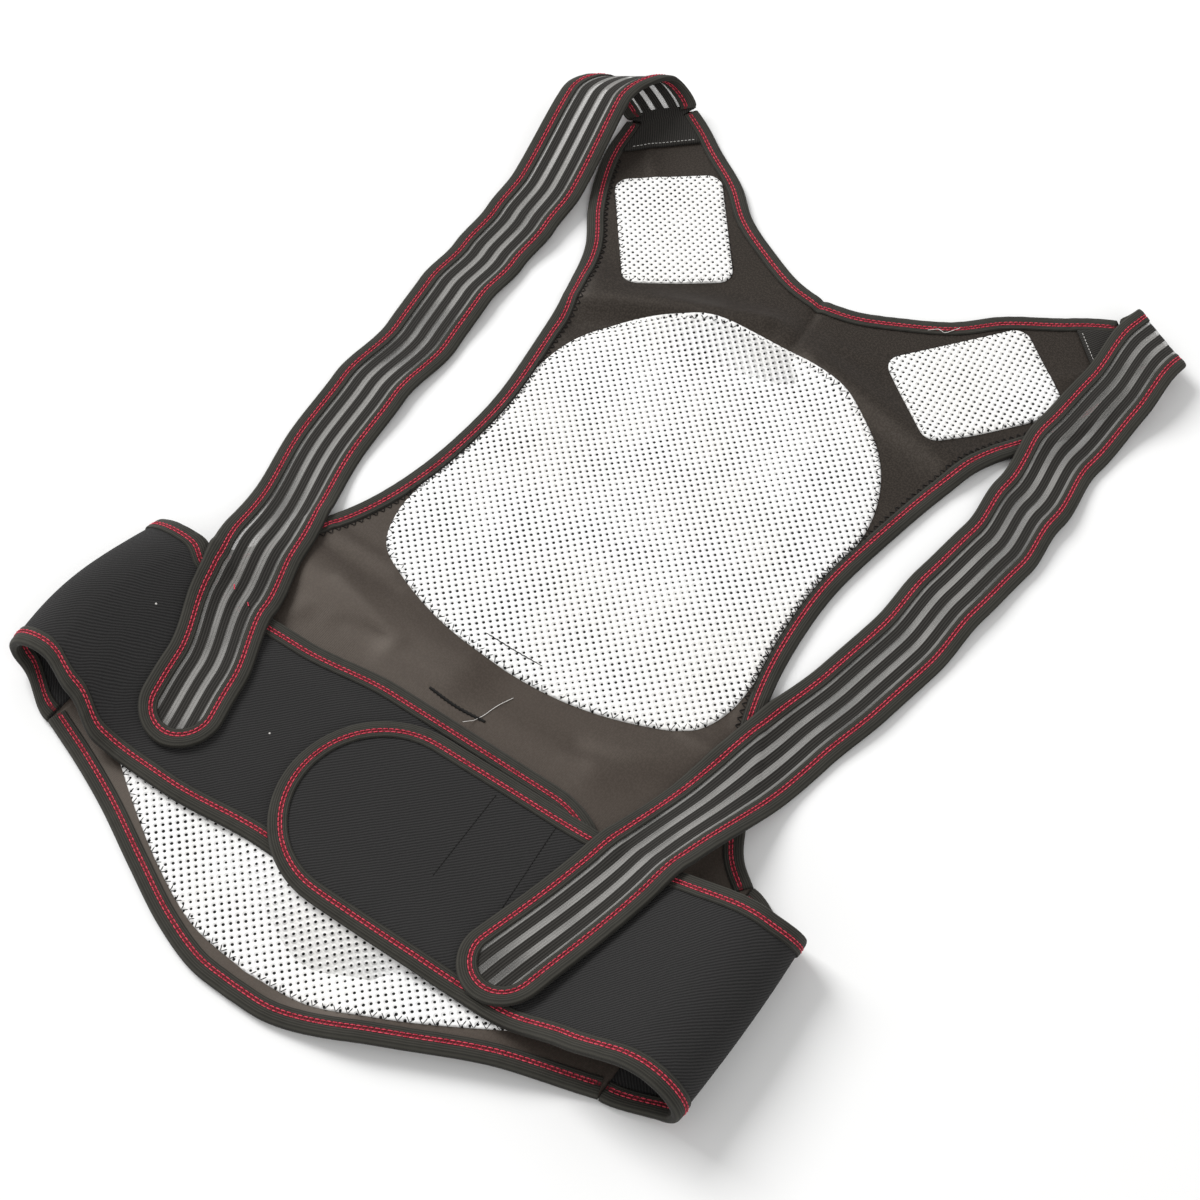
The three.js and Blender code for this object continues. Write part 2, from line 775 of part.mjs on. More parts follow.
// The part of the panel that its tapes leave bare, as a plan outline
function bareOutline() {
  const { underarm, neck, tail } = panelEdges();
  const inset = tapeWidth + gap;
  const sample = (curve, side, count) => Array.from(
    { length: count + 1 },
    (_, i) => insetPoint(curve, i / count, side * inset),
  );
  const right = [
    ...sample(tail, 1, edgeSamples.tail).slice(1),
    ...sample(underarm, 1, edgeSamples.underarm),
    ...sample(neck, -1, edgeSamples.neck).reverse(),
  ];
  const left = right.map((place) => point(-place.x, place.y)).reverse();
  return [...right, ...left.slice(1, -1)];
}

function closedCurve(points, count) {
  const curve = new THREE.CatmullRomCurve3(points, true, 'centripetal');
  return curve.getSpacedPoints(count).slice(0, count);
}

function mirrored(half) {
  return [...half, ...half.map((place) => point(-place.x, place.y)).reverse()];
}

function ovalOutline() {
  const half = ovalTable.map((row) => point(
    row.out * ovalWidth / 2,
    ovalFoot + row.up * ovalHeight,
  ));
  return closedCurve(mirrored(half), ovalPoints);
}

function lumbarOutline() {
  const lower = lumbarTable.map((row) => point(row.out * lumbarHalf, -row.down * lumbarDrop));
  const edge = curveThrough(lower).getSpacedPoints(lumbarPoints);
  const right = [...edge, point(lumbarHalf, lumbarTop - tapeWidth)];
  right.push(point(lumbarHalf - tapeWidth, lumbarTop));
  const left = right.slice(1).map((place) => point(-place.x, place.y)).reverse();
  return [...right, ...left];
}

function shoulderOutline(side) {
  const tip = armTip(side);
  const heading = radians(shoulderPatchHeading);
  const ahead = point(side * Math.sin(heading), Math.cos(heading));
  const across = point(ahead.y, -ahead.x);
  const middle = tip.middle.clone().addScaledVector(ahead, -shoulderPatchSetback);
  const long = shoulderPatchLength / 2 - shoulderPatchRadius;
  const wide = shoulderPatchWidth / 2 - shoulderPatchRadius;
  const corners = [[1, 1], [-1, 1], [-1, -1], [1, -1]];
  return corners.flatMap(([onAcross, onAhead], quarter) => {
    const centre = middle.clone()
      .addScaledVector(across, onAcross * wide)
      .addScaledVector(ahead, onAhead * long);
    return Array.from({ length: cornerSteps + 1 }, (_, i) => {
      const angle = (quarter + i / cornerSteps) * Math.PI / 2;
      return centre.clone()
        .addScaledVector(across, shoulderPatchRadius * Math.cos(angle))
        .addScaledVector(ahead, shoulderPatchRadius * Math.sin(angle));
    });
  });
}

// A belt wing: it starts at the panel's side seam, folds up and over, and its round end
// lies on the middle of the belt
function wingRibbon(side, fold, table) {
  const rest = wrapped(wingThickness);
  const start = fold.reach - seamHalf - gap;
  const profile = foldProfile(fold.height, start, fold.reach + fold.tip - wingTipLength);
  const length = profile.length + wingTipLength;
  const rows = Array.from({ length: wingStations + 1 }, (_, r) => {
    const along = profile.length * r / wingStations;
    return {
      along,
      middle: side * column(table, 'middle', along / length) * wingHeight,
      half: column(table, 'height', along / length) * wingHeight / 2,
    };
  });
  const lay = (along, across) => {
    const { reach, rise } = profile.at(along);
    const y = side * across;
    const up = rise / fold.height;
    const inward = fold.bulge * (2 * y / wingHeight) ** 2;
    const x = side * (fold.reach + reach - inward * up) + fold.slant * y * up;
    return point(x, y, rest + rise * (1 + fold.lean * y));
  };
  const band = ribbon({ rows, tipLength: wingTipLength, innerColumns: wingColumns, lay });
  const loose = rows.findIndex((row) => row.along > profile.apex) + 1;
  const perRow = wingColumns + 2;
  return { ...band, firstLoose: loose * perRow };
}

// A shoulder strap: a bare tab on the arm tip, then the taped band, which folds over the
// shoulder line and comes back down to its round end
function strapRibbon(side, loop, table) {
  const rest = wrapped(strapThickness);
  const tip = armTip(side);
  const angle = radians(shoulderFoldAngle);
  const over = point(side * Math.sin(angle), Math.cos(angle));
  const beside = point(Math.cos(angle), -side * Math.sin(angle));
  const fold = point(side * shoulderFoldReach, shoulderFoldHeight);
  const across = point(side * tip.ahead.y, -tip.ahead.x * side);
  const start = strapWidth;
  const profile = foldProfile(loop.height, start, loop.length);
  const toFold = (along, shift) => tip.middle.clone()
    .addScaledVector(tip.ahead, along)
    .addScaledVector(across, shift)
    .sub(fold);
  const lay = (along, shift) => {
    const flat = toFold(along, shift);
    const place = profile.at(flat.dot(over) + start);
    const sideways = flat.dot(beside);
    const laid = fold.clone()
      .addScaledVector(beside, sideways)
      .addScaledVector(over, place.reach);
    const ripple = column(table, 'lift', along / loop.length) * strapThickness;
    laid.z = rest + place.rise * (1 + side * loop.lean * sideways) + ripple;
    return laid;
  };
  const straight = loop.length - strapTipLength;
  const stations = loopStations + strapStations;
  const tabRows = tabShares.map((share) => ({
    along: -share * strapTabLength,
    middle: 0,
    half: strapWidth / 2 - gap,
    bare: true,
  }));
  const bandRows = Array.from({ length: stations + 1 }, (_, r) => {
    const along = r < loopStations
      ? mix(2 * gap, loopReach, r / loopStations)
      : mix(loopReach, straight, (r - loopStations) / strapStations);
    return {
      along,
      middle: side * column(table, 'shift', along / loop.length) * strapWidth,
      half: strapWidth / 2,
    };
  });
  const rows = [...tabRows, ...bandRows];
  return ribbon({ rows, tipLength: strapTipLength, innerColumns: strapColumns, lay });
}

const group = new THREE.Group();
const relief = new Relief();

function addPiece(name, geometry, finish) {
  const material = new THREE.MeshStandardMaterial({ ...finish, metalness: 0 });
  const mesh = new THREE.Mesh(geometry, material);
  mesh.name = name;
  group.add(mesh);
  relief.add(geometry);
}

const tapeTrim = tapeThickness + 2 * gap;

function addTape(name, sheet, chain, thickness) {
  addPiece(name, edgeTape(sheet, chain, thickness, tapeTrim), finishes.tape);
}

const panel = panelSheet();
const halfPanel = panelThickness / 2;
addPiece('back_panel', slab(panel.sheet, -halfPanel, halfPanel), finishes.panel);
addTape('neck_binding', panel.sheet, panel.neck, panelThickness);
addTape('tail_binding', panel.sheet, panel.tail, panelThickness);
addTape('left_underarm_binding', panel.sheet, panel.underarm.left, panelThickness);
addTape('right_underarm_binding', panel.sheet, panel.underarm.right, panelThickness);

const patchFloor = halfPanel + gap;
const patchLayer = solidFrom(slab(panel.sheet, patchFloor, patchFloor + patchThickness));
const barePatchLayer = patchLayer.intersect(prism(bareOutline()));
for (const [name, outline] of [
  ['center_patch', ovalOutline()],
  ['left_shoulder_patch', shoulderOutline(-1)],
  ['right_shoulder_patch', shoulderOutline(1)],
  ['lumbar_patch', lumbarOutline()],
]) {
  const patch = geometryOf(barePatchLayer.intersect(prism(outline)));
  addPiece(name, patch, finishes.mesh);
}

for (const [name, side, fold, table] of [
  ['left_wing', -1, leftFold, leftWingTable],
  ['right_wing', 1, rightFold, rightWingTable],
]) {
  const { sheet, chain, firstLoose } = wingRibbon(side, fold, table);
  const clearance = wrapped(wingThickness) + gap;
  settle(sheet, relief, clearance, firstLoose);
  bridge(sheet, firstLoose, wingBridges);
  settle(sheet, relief, clearance, firstLoose);
  addPiece(name, slab(sheet, -wingThickness / 2, wingThickness / 2), finishes.wing);
  addTape(`${name}_binding`, sheet, chain, wingThickness);
}

for (const [name, side, loop, table] of [
  ['left_strap', -1, leftLoop, leftStrapTable],
  ['right_strap', 1, rightLoop, rightStrapTable],
]) {
  const { sheet, chain } = strapRibbon(side, loop, table);
  const clearance = wrapped(strapThickness) + gap;
  settle(sheet, relief, clearance, 0);
  bridge(sheet, 0, strapBridges);
  settle(sheet, relief, clearance, 0);
  addPiece(name, slab(sheet, -strapThickness / 2, strapThickness / 2), finishes.strap);
  addTape(`${name}_binding`, sheet, chain, strapThickness);
}

// The origin is at the middle of the surface that the brace lies on
const box = new THREE.Box3().setFromObject(group);
const middle = box.getCenter(point(0, 0));
group.position.set(-middle.x, -middle.y, -box.min.z);

export default group;
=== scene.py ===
import math

import bmesh
import bpy
import numpy as np
from mathutils import Matrix, Vector


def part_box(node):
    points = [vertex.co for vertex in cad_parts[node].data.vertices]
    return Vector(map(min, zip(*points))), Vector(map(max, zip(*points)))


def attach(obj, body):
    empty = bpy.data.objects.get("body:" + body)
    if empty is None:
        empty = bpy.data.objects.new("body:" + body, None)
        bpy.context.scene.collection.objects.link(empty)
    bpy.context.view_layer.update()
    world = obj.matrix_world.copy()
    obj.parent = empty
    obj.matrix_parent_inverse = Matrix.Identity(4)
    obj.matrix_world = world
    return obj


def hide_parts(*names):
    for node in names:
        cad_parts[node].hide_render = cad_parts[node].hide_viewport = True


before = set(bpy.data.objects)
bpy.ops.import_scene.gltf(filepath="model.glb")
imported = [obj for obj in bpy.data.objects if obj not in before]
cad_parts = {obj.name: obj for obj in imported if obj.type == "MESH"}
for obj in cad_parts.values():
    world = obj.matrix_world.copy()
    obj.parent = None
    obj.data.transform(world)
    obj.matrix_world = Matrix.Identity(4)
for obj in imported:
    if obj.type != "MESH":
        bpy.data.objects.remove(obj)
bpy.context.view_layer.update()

cloth = {
    "gap": 0.3,               # air between two pieces that touch
    "panel": 3.0,             # thicknesses of the cloths
    "wing": 3.0,
    "strap": 1.6,
    "patch": 1.0,
    "tape": 0.8,
    "tapeWidth": 10.0,
    "slope": 0.4,             # how steeply cloth hangs off an edge
}

tapeWidth = cloth["tapeWidth"]
panelLow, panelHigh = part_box("back_panel")
tailDrop = 132.0
shift = np.array([
    500 * (panelLow.x + panelHigh.x),
    1000 * panelLow.y + tailDrop,
    1000 * panelLow.z - cloth["gap"] - cloth["tape"],
])


# Numbers along tables and lines

tiny = 1e-9
weldDistance = 1e-6


def unit(vectors):
    # each vector over its own length
    return vectors / np.maximum(np.linalg.norm(vectors, axis=-1, keepdims=True), tiny)


def smooth(w):
    # 0 to 1, level at both ends
    return w * w * (3 - 2 * w)


def eased(rows, share):
    # rows are (share, value), and the value goes smoothly from each row to the next
    at, value = np.array(rows, float).T
    i = np.clip(np.searchsorted(at, share, side="right") - 1, 0, len(at) - 2)
    w = np.clip((share - at[i]) / (at[i + 1] - at[i]), 0, 1)
    return value[i] + (value[i + 1] - value[i]) * smooth(w)


def lengthsOf(line):
    # running length along a line of points
    steps = np.linalg.norm(np.diff(line, axis=0), axis=1)
    return np.concatenate([[0], np.cumsum(steps)])


def valuesAt(at, run, values):
    # each column of the values, read at other running lengths
    return np.stack([np.interp(at, run, column) for column in values.T], axis=1)


def spread(line, count, cut=0.0):
    # count + 1 evenly spaced points along a line, after a cut from both ends
    run = lengthsOf(line)
    return valuesAt(np.linspace(cut, run[-1] - cut, count + 1), run, line)


spanSteps = 24


def smoothLine(points, count, closed=False):
    # a centripetal curve through the points: each span is a Hermite cubic whose tangents
    # weigh the neighbours by the square roots of their distances
    p = np.asarray(points, float)
    if closed:
        p = np.vstack([p[-1:], p, p[:2]])
    else:
        p = np.vstack([2 * p[:1] - p[1:2], p, 2 * p[-1:] - p[-2:-1]])
    a, b, c, d = p[:-3], p[1:-2], p[2:-1], p[3:]
    ab, bc, cd = (np.sqrt(np.linalg.norm(v - u, axis=1))[:, None] for u, v in ((a, b), (b, c), (c, d)))
    leave = ((b - a) / ab - (c - a) / (ab + bc) + (c - b) / bc) * bc
    reach = ((c - b) / bc - (d - b) / (bc + cd) + (d - c) / cd) * bc
    s = np.linspace(0, 1, spanSteps, endpoint=False)[None, :, None]
    b, c, leave, reach = (v[:, None, :] for v in (b, c, leave, reach))
    spans = ((2 * s ** 3 - 3 * s ** 2 + 1) * b + (s ** 3 - 2 * s ** 2 + s) * leave
             + (3 * s ** 2 - 2 * s ** 3) * c + (s ** 3 - s ** 2) * reach)
    line = np.vstack([spans.reshape(-1, p.shape[1]), c[-1]])
    return spread(line, count)


def insetLine(line, inset):
    # a plan line moved to its left by the inset
    along = unit(np.gradient(line, axis=0))
    return line + inset * np.stack([-along[:, 1], along[:, 0]], axis=1)


def blurred(values, times, axis):
    # each value becomes a quarter of each neighbour and half of itself
    for _ in range(times):
        padded = np.concatenate([values.take([0], axis), values, values.take([-1], axis)], axis)
        n = values.shape[axis]
        around = padded.take(range(n), axis) + padded.take(range(2, n + 2), axis)
        values = 0.25 * around + 0.5 * values
    return values


def between(grid, row, column):
    # a grid's value at places between its rows and columns
    i = np.clip(np.floor(row).astype(int), 0, grid.shape[0] - 2)
    j = np.clip(np.floor(column).astype(int), 0, grid.shape[1] - 2)
    u, v = np.clip(row - i, 0, 1), np.clip(column - j, 0, 1)
    if grid.ndim > 2:
        u, v = u[..., None], v[..., None]
    return ((grid[i, j] * (1 - u) + grid[i + 1, j] * u) * (1 - v)
            + (grid[i, j + 1] * (1 - u) + grid[i + 1, j + 1] * u) * v)


# Meshes

def gridFaces(rows, columns, first=0):
    # the quads of a grid whose rows follow one another
    corner = first + np.arange(rows - 1)[:, None] * columns + np.arange(columns - 1)[None, :]
    return np.stack([corner, corner + 1, corner + columns + 1, corner + columns], -1).reshape(-1, 4)


def ringFaces(rings, around):
    # the quads between closed rings that follow one another, and a face at both ends
    k = np.arange(around)
    following = (k + 1) % around
    corner = np.arange(rings - 1)[:, None] * around
    walls = np.stack([corner + k, corner + following, corner + around + following, corner + around + k], -1)
    return walls.reshape(-1, 4), k[::-1][None, :], (rings - 1) * around + k[None, :]


def addObject(name, data):
    made = bpy.data.objects.new(name, data)
    bpy.context.scene.collection.objects.link(made)
    return made


def addMesh(name, points, faces, material, uv=None, weld=False):
    # points in millimetres, uv in metres of cloth
    spots = (np.asarray(points).reshape(-1, 3) + shift) * 0.001
    mesh = bpy.data.meshes.new(name)
    mesh.from_pydata(spots.tolist(), [], [face for part in faces for face in part.tolist()])
    if uv is not None:
        layer = mesh.uv_layers.new(name="cloth")
        corner = np.empty(len(mesh.loops), np.int32)
        mesh.loops.foreach_get("vertex_index", corner)
        layer.data.foreach_set("uv", np.asarray(uv, np.float32).reshape(-1, 2)[corner].ravel())
    if weld:
        body = bmesh.new()
        body.from_mesh(mesh)
        bmesh.ops.remove_doubles(body, verts=body.verts, dist=weldDistance)
        body.to_mesh(mesh)
        body.free()
    mesh.polygons.foreach_set("use_smooth", np.ones(len(mesh.polygons), bool))
    mesh.materials.append(material)
    mesh.update()
    return addObject(name, mesh)


def thicken(piece, thickness):
    # a wall on both sides of a middle surface
    wall = piece.modifiers.new("wall", "SOLIDIFY")
    wall.thickness = thickness * 0.001
    wall.offset = 0
    wall.use_even_offset = True
    return piece


def flatArea(points, faces):
    # half the cross product of each quad's diagonals, in square metres
    p = np.asarray(points).reshape(-1, 3)
    a, b, c, d = (p[faces[:, i]] for i in range(4))
    return float(np.linalg.norm(np.cross(c - a, d - b), axis=1).sum() / 2 * 1e-6)


beadShape = {"rings": (0.14, 0.5, 0.86), "swell": (0.75, 1.0, 0.75), "sides": 5}


def beads(name, starts, ends, up, radius, arch, look):
    # one short stitch for each start and end: a tube whose middle rises by the arch
    rings, swell, sides = (beadShape[key] for key in ("rings", "swell", "sides"))
    start, run, way = (v[:, None, None] for v in (starts, ends - starts, up))
    beside = unit(np.cross(way, run))
    angle = (np.arange(sides) * 2 * math.pi / sides)[:, None]
    q = np.array(rings)[:, None, None]
    wide = radius * np.array(swell)[:, None, None]
    tube = (start + q * run + arch * (1 - (2 * q - 1) ** 2) * way
            + wide * (np.cos(angle) * beside + np.sin(angle) * way))
    n = len(starts)
    points = np.concatenate([tube.reshape(n, -1, 3), starts[:, None], ends[:, None]], axis=1)
    perBead = points.shape[1]
    k = np.arange(sides)
    following = (k + 1) % sides
    last = (len(rings) - 1) * sides
    caps = np.concatenate([np.stack([following, k, 0 * k + perBead - 2], 1),
                           np.stack([last + k, last + following, 0 * k + perBead - 1], 1)])
    walls = ringFaces(len(rings), sides)[0]
    first = (np.arange(n) * perBead)[:, None, None]
    faces = [(walls + first).reshape(-1, 4), (caps + first).reshape(-1, 3)]
    return place(addMesh(name, points, faces, looks[look]), look)


def stitchRow(path, up, pitch, length):
    # starts and ends of straight stitches along a path, and the way up at each of them
    run = lengthsOf(path)
    at = np.arange(pitch, run[-1] - pitch, pitch)
    starts, ends = (valuesAt(at + way * length / 2, run, path) for way in (-1, 1))
    return starts, ends, unit(valuesAt(at, run, up))


def zigzag(path, pitch, width):
    # starts and ends of stitches that swing from one side of a level path to the other
    run = lengthsOf(path)
    places = valuesAt(np.arange(pitch, run[-1] - pitch, pitch), run, path)
    up = np.zeros_like(places) + [0, 0, 1]
    beside = unit(np.cross(up, np.gradient(places, axis=0)))
    swing = np.where(np.arange(len(places)) % 2, width / 2, -width / 2)
    corner = places + beside * swing[:, None]
    return corner[:-1], corner[1:], up[:-1]


# Shader maths

class Sock:
    # a socket that takes part in sums
    def __init__(self, graph, socket):
        self.graph = graph
        self.socket = socket

    def maths(self, operation, *others):
        values = dict(enumerate((self, *others)))
        return self.graph.node("ShaderNodeMath", {"operation": operation}, values)

    def __add__(self, other):
        return self.maths("ADD", other)

    def __sub__(self, other):
        return self.maths("SUBTRACT", other)

    def __rsub__(self, other):
        return self.graph.number(other).maths("SUBTRACT", self)

    def __mul__(self, other):
        return self.maths("MULTIPLY", other)

    def __gt__(self, other):
        return self.maths("GREATER_THAN", other)

    def __abs__(self):
        return self.maths("ABSOLUTE")

    __radd__ = __add__
    __rmul__ = __mul__

    def wave(self, length):
        # 0 to 1 and back once in each length
        return (self * (2 * math.pi / length)).maths("SINE") * 0.5 + 0.5

    def band(self, low, high, soft):
        # 1 between two values, falling to 0 over a soft edge
        sides = [self.graph.node("ShaderNodeMapRange", {"interpolation_type": "SMOOTHSTEP"},
                                 {0: self, 1: edge - soft, 2: edge + soft, 3: start, 4: 1.0 - start})
                 for edge, start in ((low, 0.0), (high, 1.0))]
        return sides[0] * sides[1]


class Graph:
    # the nodes of one material
    def __init__(self, name):
        self.material = bpy.data.materials.new(name)
        self.material.use_nodes = True
        self.tree = self.material.node_tree
        self.tree.nodes.clear()

    def node(self, kind, settings=None, values=None, output=0):
        made = self.tree.nodes.new(kind)
        for key, value in (settings or {}).items():
            setattr(made, key, value)
        for key, value in (values or {}).items():
            if isinstance(value, Sock):
                self.tree.links.new(value.socket, made.inputs[key])
            elif isinstance(value, tuple) and made.inputs[key].type == "RGBA":
                made.inputs[key].default_value = (*value[:3], 1)
            else:
                made.inputs[key].default_value = value
        return Sock(self, made.outputs[output])

    def number(self, value):
        return self.node("ShaderNodeMath", {"operation": "ADD"}, {0: value, 1: 0.0})

    def mix(self, share, a, b):
        return self.node("ShaderNodeMix", {"data_type": "RGBA"}, {0: share, 6: a, 7: b}, 2)

    def place(self):
        return self.node("ShaderNodeTexCoord", output=3)

    def clothMap(self):
        return self.node("ShaderNodeUVMap", {"uv_map": "cloth"})

    def axes(self, vector):
        return [self.node("ShaderNodeSeparateXYZ", None, {0: vector}, i) for i in range(3)]

    def noise(self, vector, scale, detail=3.0, rough=0.55):
        values = {"Vector": vector, "Scale": scale, "Detail": detail, "Roughness": rough}
        return self.node("ShaderNodeTexNoise", None, values)

    def bump(self, height, distance, strength):
        values = {"Strength": strength, "Distance": distance, "Height": height}
        return self.node("ShaderNodeBump", None, values)

    def finish(self, **values):
        names = {key.replace("_", " "): value for key, value in values.items()}
        shader = self.node("ShaderNodeBsdfPrincipled", None, names)
        out = self.tree.nodes.new("ShaderNodeOutputMaterial")
        self.tree.links.new(shader.socket, out.inputs["Surface"])
        return self.material


jerseyLook = {"dark": (0.0030, 0.0023, 0.0018), "light": (0.070, 0.0555, 0.0460), "knit": 0.0011,
              "pilling": (0.098, 0.080, 0.068), "paintedLightBelow": -0.02, "paintedLightFade": 0.16}


def jerseyMaterial():
    # smooth dark jersey: columns of fine knit, soft patches of wear and faint pilling, with painted light
    # that makes its lower part, towards the belt, paler than the painted shade up at the neck
    g = Graph("jersey")
    place = g.place()
    x, y, _ = g.axes(place)
    cloud = g.noise(place, 9.0, 2.0)
    grain = g.noise(place, 900.0, 2.0)
    # painted light: 1 on the lower part of the panel, fading out above it, so the top towards the neck stays
    # in painted shade
    paintedLight = y.band(-9.0, jerseyLook["paintedLightBelow"], jerseyLook["paintedLightFade"])
    knit = x.wave(jerseyLook["knit"]) * 0.6 + y.wave(jerseyLook["knit"] * 0.8) * 0.4
    tone = g.mix(cloud * 0.22 + paintedLight * 0.5 + grain * 0.1, jerseyLook["dark"], jerseyLook["light"])
    tone = g.mix(grain.band(0.52, 2.0, 0.1) * 0.18, tone, jerseyLook["pilling"])
    height = knit * 0.45 + grain * 0.4 + g.noise(place, 120.0, 3.0) * 0.9
    return g.finish(Base_Color=tone, Roughness=0.40 + grain * 0.12,
                    Specular_IOR_Level=0.34, Specular_Tint=(1.0, 0.88, 0.76),
                    Normal=g.bump(height, 0.00018, 0.5))


tapeLook = {"dark": (0.014, 0.0132, 0.0112), "light": (0.058, 0.055, 0.046), "rib": 0.00125,
            "rows": (0.0051, 0.0069), "seam": (0.0001, 0.0003), "stitch": 0.0032, "thread": 0.0009,
            "red": (0.30, 0.014, 0.034), "deepRed": (0.07, 0.006, 0.012)}


def tapeMaterial():
    # ribbed tape: ribs run along it, with dark red thread sunk between the stitch rows
    g = Graph("tape")
    along, across, _ = g.axes(g.clothMap())
    grain = g.noise(g.place(), 700.0, 2.0)
    cloud = g.noise(g.place(), 40.0, 3.0)
    rib = across.wave(tapeLook["rib"])
    thread = along.wave(tapeLook["thread"])
    low, high = tapeLook["rows"]
    beyond, soft = tapeLook["seam"]
    seam = across.band(low - beyond, high + beyond, soft)
    tone = g.mix(rib * 0.55 + cloud * 0.45, tapeLook["dark"], tapeLook["light"])
    tick = along.wave(tapeLook["stitch"] * 0.5)
    red = g.mix(tick * 0.7 + grain * 0.3, tapeLook["deepRed"], tapeLook["red"])
    tone = g.mix(seam * (0.35 + tick * 0.4), tone, red)
    height = rib * 0.8 + thread * 0.35 + grain * 0.4 - seam * 1.1
    return g.finish(Base_Color=tone, Roughness=0.7 + grain * 0.15, Sheen_Weight=0.04,
                    Sheen_Roughness=0.5, Specular_IOR_Level=0.15,
                    Normal=g.bump(height, 0.00025, 0.7))


meshLook = {"white": (0.93, 0.93, 0.925), "warm": (0.88, 0.865, 0.835), "cell": (0.62, 0.60, 0.57),
            "dot": (0.010, 0.0098, 0.0098), "pitch": 0.0056, "radius": 0.00080, "wobble": 0.0009}


def spacerMaterial():
    # white spacer mesh: dark dots on two staggered square grids, over a fine honeycomb
    g = Graph("spacerMesh")
    place = g.place()
    wobble = g.noise(place, 45.0, 2.0)
    x, y, _ = g.axes(g.clothMap())
    x = x + wobble * meshLook["wobble"]
    y = y + g.noise(place, 38.0, 2.0) * meshLook["wobble"]

    def dots(offset):
        dx, dy = ((axis + offset).maths("PINGPONG", meshLook["pitch"] / 2) for axis in (x, y))
        return (dx * dx + dy * dy).maths("SQRT")

    away = dots(0.0).maths("MINIMUM", dots(meshLook["pitch"] / 2))
    ragged = away + g.noise(place, 30.0, 2.0) * 0.0006 - 0.0003
    spot = ragged.band(-1.0, meshLook["radius"], 0.00009)
    grain = g.noise(place, 1100.0, 2.0)
    cells = g.node("ShaderNodeTexVoronoi", None, {"Vector": place, "Scale": 780.0})
    cloud = g.noise(place, 14.0, 3.0)
    tone = g.mix(cloud.band(0.5, 1.5, 0.15) * 0.7, meshLook["white"], meshLook["warm"])
    tone = g.mix(cells * 0.12, tone, meshLook["cell"])
    tone = g.mix(spot, tone, meshLook["dot"])
    height = away.band(-1.0, meshLook["radius"] * 1.6, 0.0006) * -1.6 + cells * -0.5 + grain * 0.3
    return g.finish(Base_Color=tone, Roughness=0.85, Specular_IOR_Level=0.2,
                    Normal=g.bump(height, 0.0004, 0.8))


loopLook = {"dark": (0.0045, 0.0044, 0.0044), "light": (0.050, 0.0485, 0.0480), "rib": 0.0016,
            "dull": (0.017, 0.0165, 0.0165), "lint": (0.62, 0.6, 0.57),
            # how rare the specks are, their size in their cells and their soft edge
            "rare": 0.955, "speck": 0.075, "speckEdge": 0.02, "diagonal": 0.7071}


def loopMaterial():
    # black loop cloth: fine diagonal ribs, brushed fuzz and a few specks of lint
    g = Graph("loopCloth")
    along, across, _ = g.axes(g.clothMap())
    place = g.place()
    wander = g.noise(place, 90.0, 3.0) * 0.0016
    rib = along * loopLook["diagonal"] + across * loopLook["diagonal"] + wander
    rib = rib.wave(loopLook["rib"])
    fuzz = g.noise(place, 1500.0, 3.0, 0.7)
    cloud = g.noise(place, 22.0, 4.0)
    speck, pick = (g.node("ShaderNodeTexVoronoi", None, {"Vector": place, "Scale": 120.0}, output)
                   for output in (0, 1))
    chosen = g.node("ShaderNodeSeparateXYZ", None, {0: pick}, 0) > loopLook["rare"]
    lint = speck.band(-1.0, loopLook["speck"], loopLook["speckEdge"]) * chosen
    tone = g.mix(rib * 0.5 + fuzz * 0.5, loopLook["dark"], loopLook["light"])
    tone = g.mix(cloud * 0.3, tone, loopLook["dull"])
    tone = g.mix(lint, tone, loopLook["lint"])
    height = rib * 0.7 + fuzz * 0.9 + lint * 1.5
    return g.finish(Base_Color=tone, Roughness=0.92, Sheen_Weight=0.03, Sheen_Roughness=0.6,
                    Specular_IOR_Level=0.12, Normal=g.bump(height, 0.0003, 0.7))


strapLook = {"dark": (0.0085, 0.0078, 0.0070), "light": (0.046, 0.0430, 0.0385), "rib": 0.0011,
             "stripes": ((0.0044, 0.0017), (0.0126, 0.0008)), "column": 0.0015, "clear": 0.84,
             "soft": 0.00025, "seam": 0.004, "net": (0.46, 0.45, 0.43)}


def strapMaterial():
    # ribbed elastic: columns run along it, fine ribs across, and four stripes of open net
    # let the ground through, with painted reflections on their clear threads in soft patches
    g = Graph("elastic")
    along, across, _ = g.axes(g.clothMap())
    place = g.place()
    grain = g.noise(place, 900.0, 2.0)
    rib = along.wave(strapLook["rib"])
    column = across.wave(strapLook["column"])
    side = abs(across)
    stripe = None
    for middle, half in strapLook["stripes"]:
        one = side.band(middle - half, middle + half, strapLook["soft"])
        stripe = one if stripe is None else stripe.maths("MAXIMUM", one)
    stripe = stripe * (along > strapLook["seam"])
    tone = g.mix(column * 0.6 + rib * 0.15 + grain * 0.25, strapLook["dark"], strapLook["light"])
    tone = g.mix(stripe, tone, strapLook["net"])
    # painted reflections: soft patches where the clear net shows more of its own grey
    paintedReflection = g.noise(place, 14.0, 2.0).band(0.44, 9.0, 0.1)
    alpha = 1 - stripe * (strapLook["clear"] - rib * 0.08 - paintedReflection * 0.3)
    height = column * 0.9 + rib * 0.35 + grain * 0.3 - stripe * 0.6
    return g.finish(Base_Color=tone, Alpha=alpha, Roughness=0.72, Sheen_Weight=0.04,
                    Sheen_Roughness=0.5, Specular_IOR_Level=0.12, Normal=g.bump(height, 0.0003, 0.7))


def threadMaterial(name, dark, light, scale):
    # twisted thread: a fine grain from dark to light
    g = Graph(name)
    grain = g.noise(g.place(), scale, 2.0)
    tone = g.mix(grain.band(0.45, 2.0, 0.15), dark, light)
    return g.finish(Base_Color=tone, Roughness=0.7, Specular_IOR_Level=0.2,
                    Normal=g.bump(grain, 0.0001, 0.5))


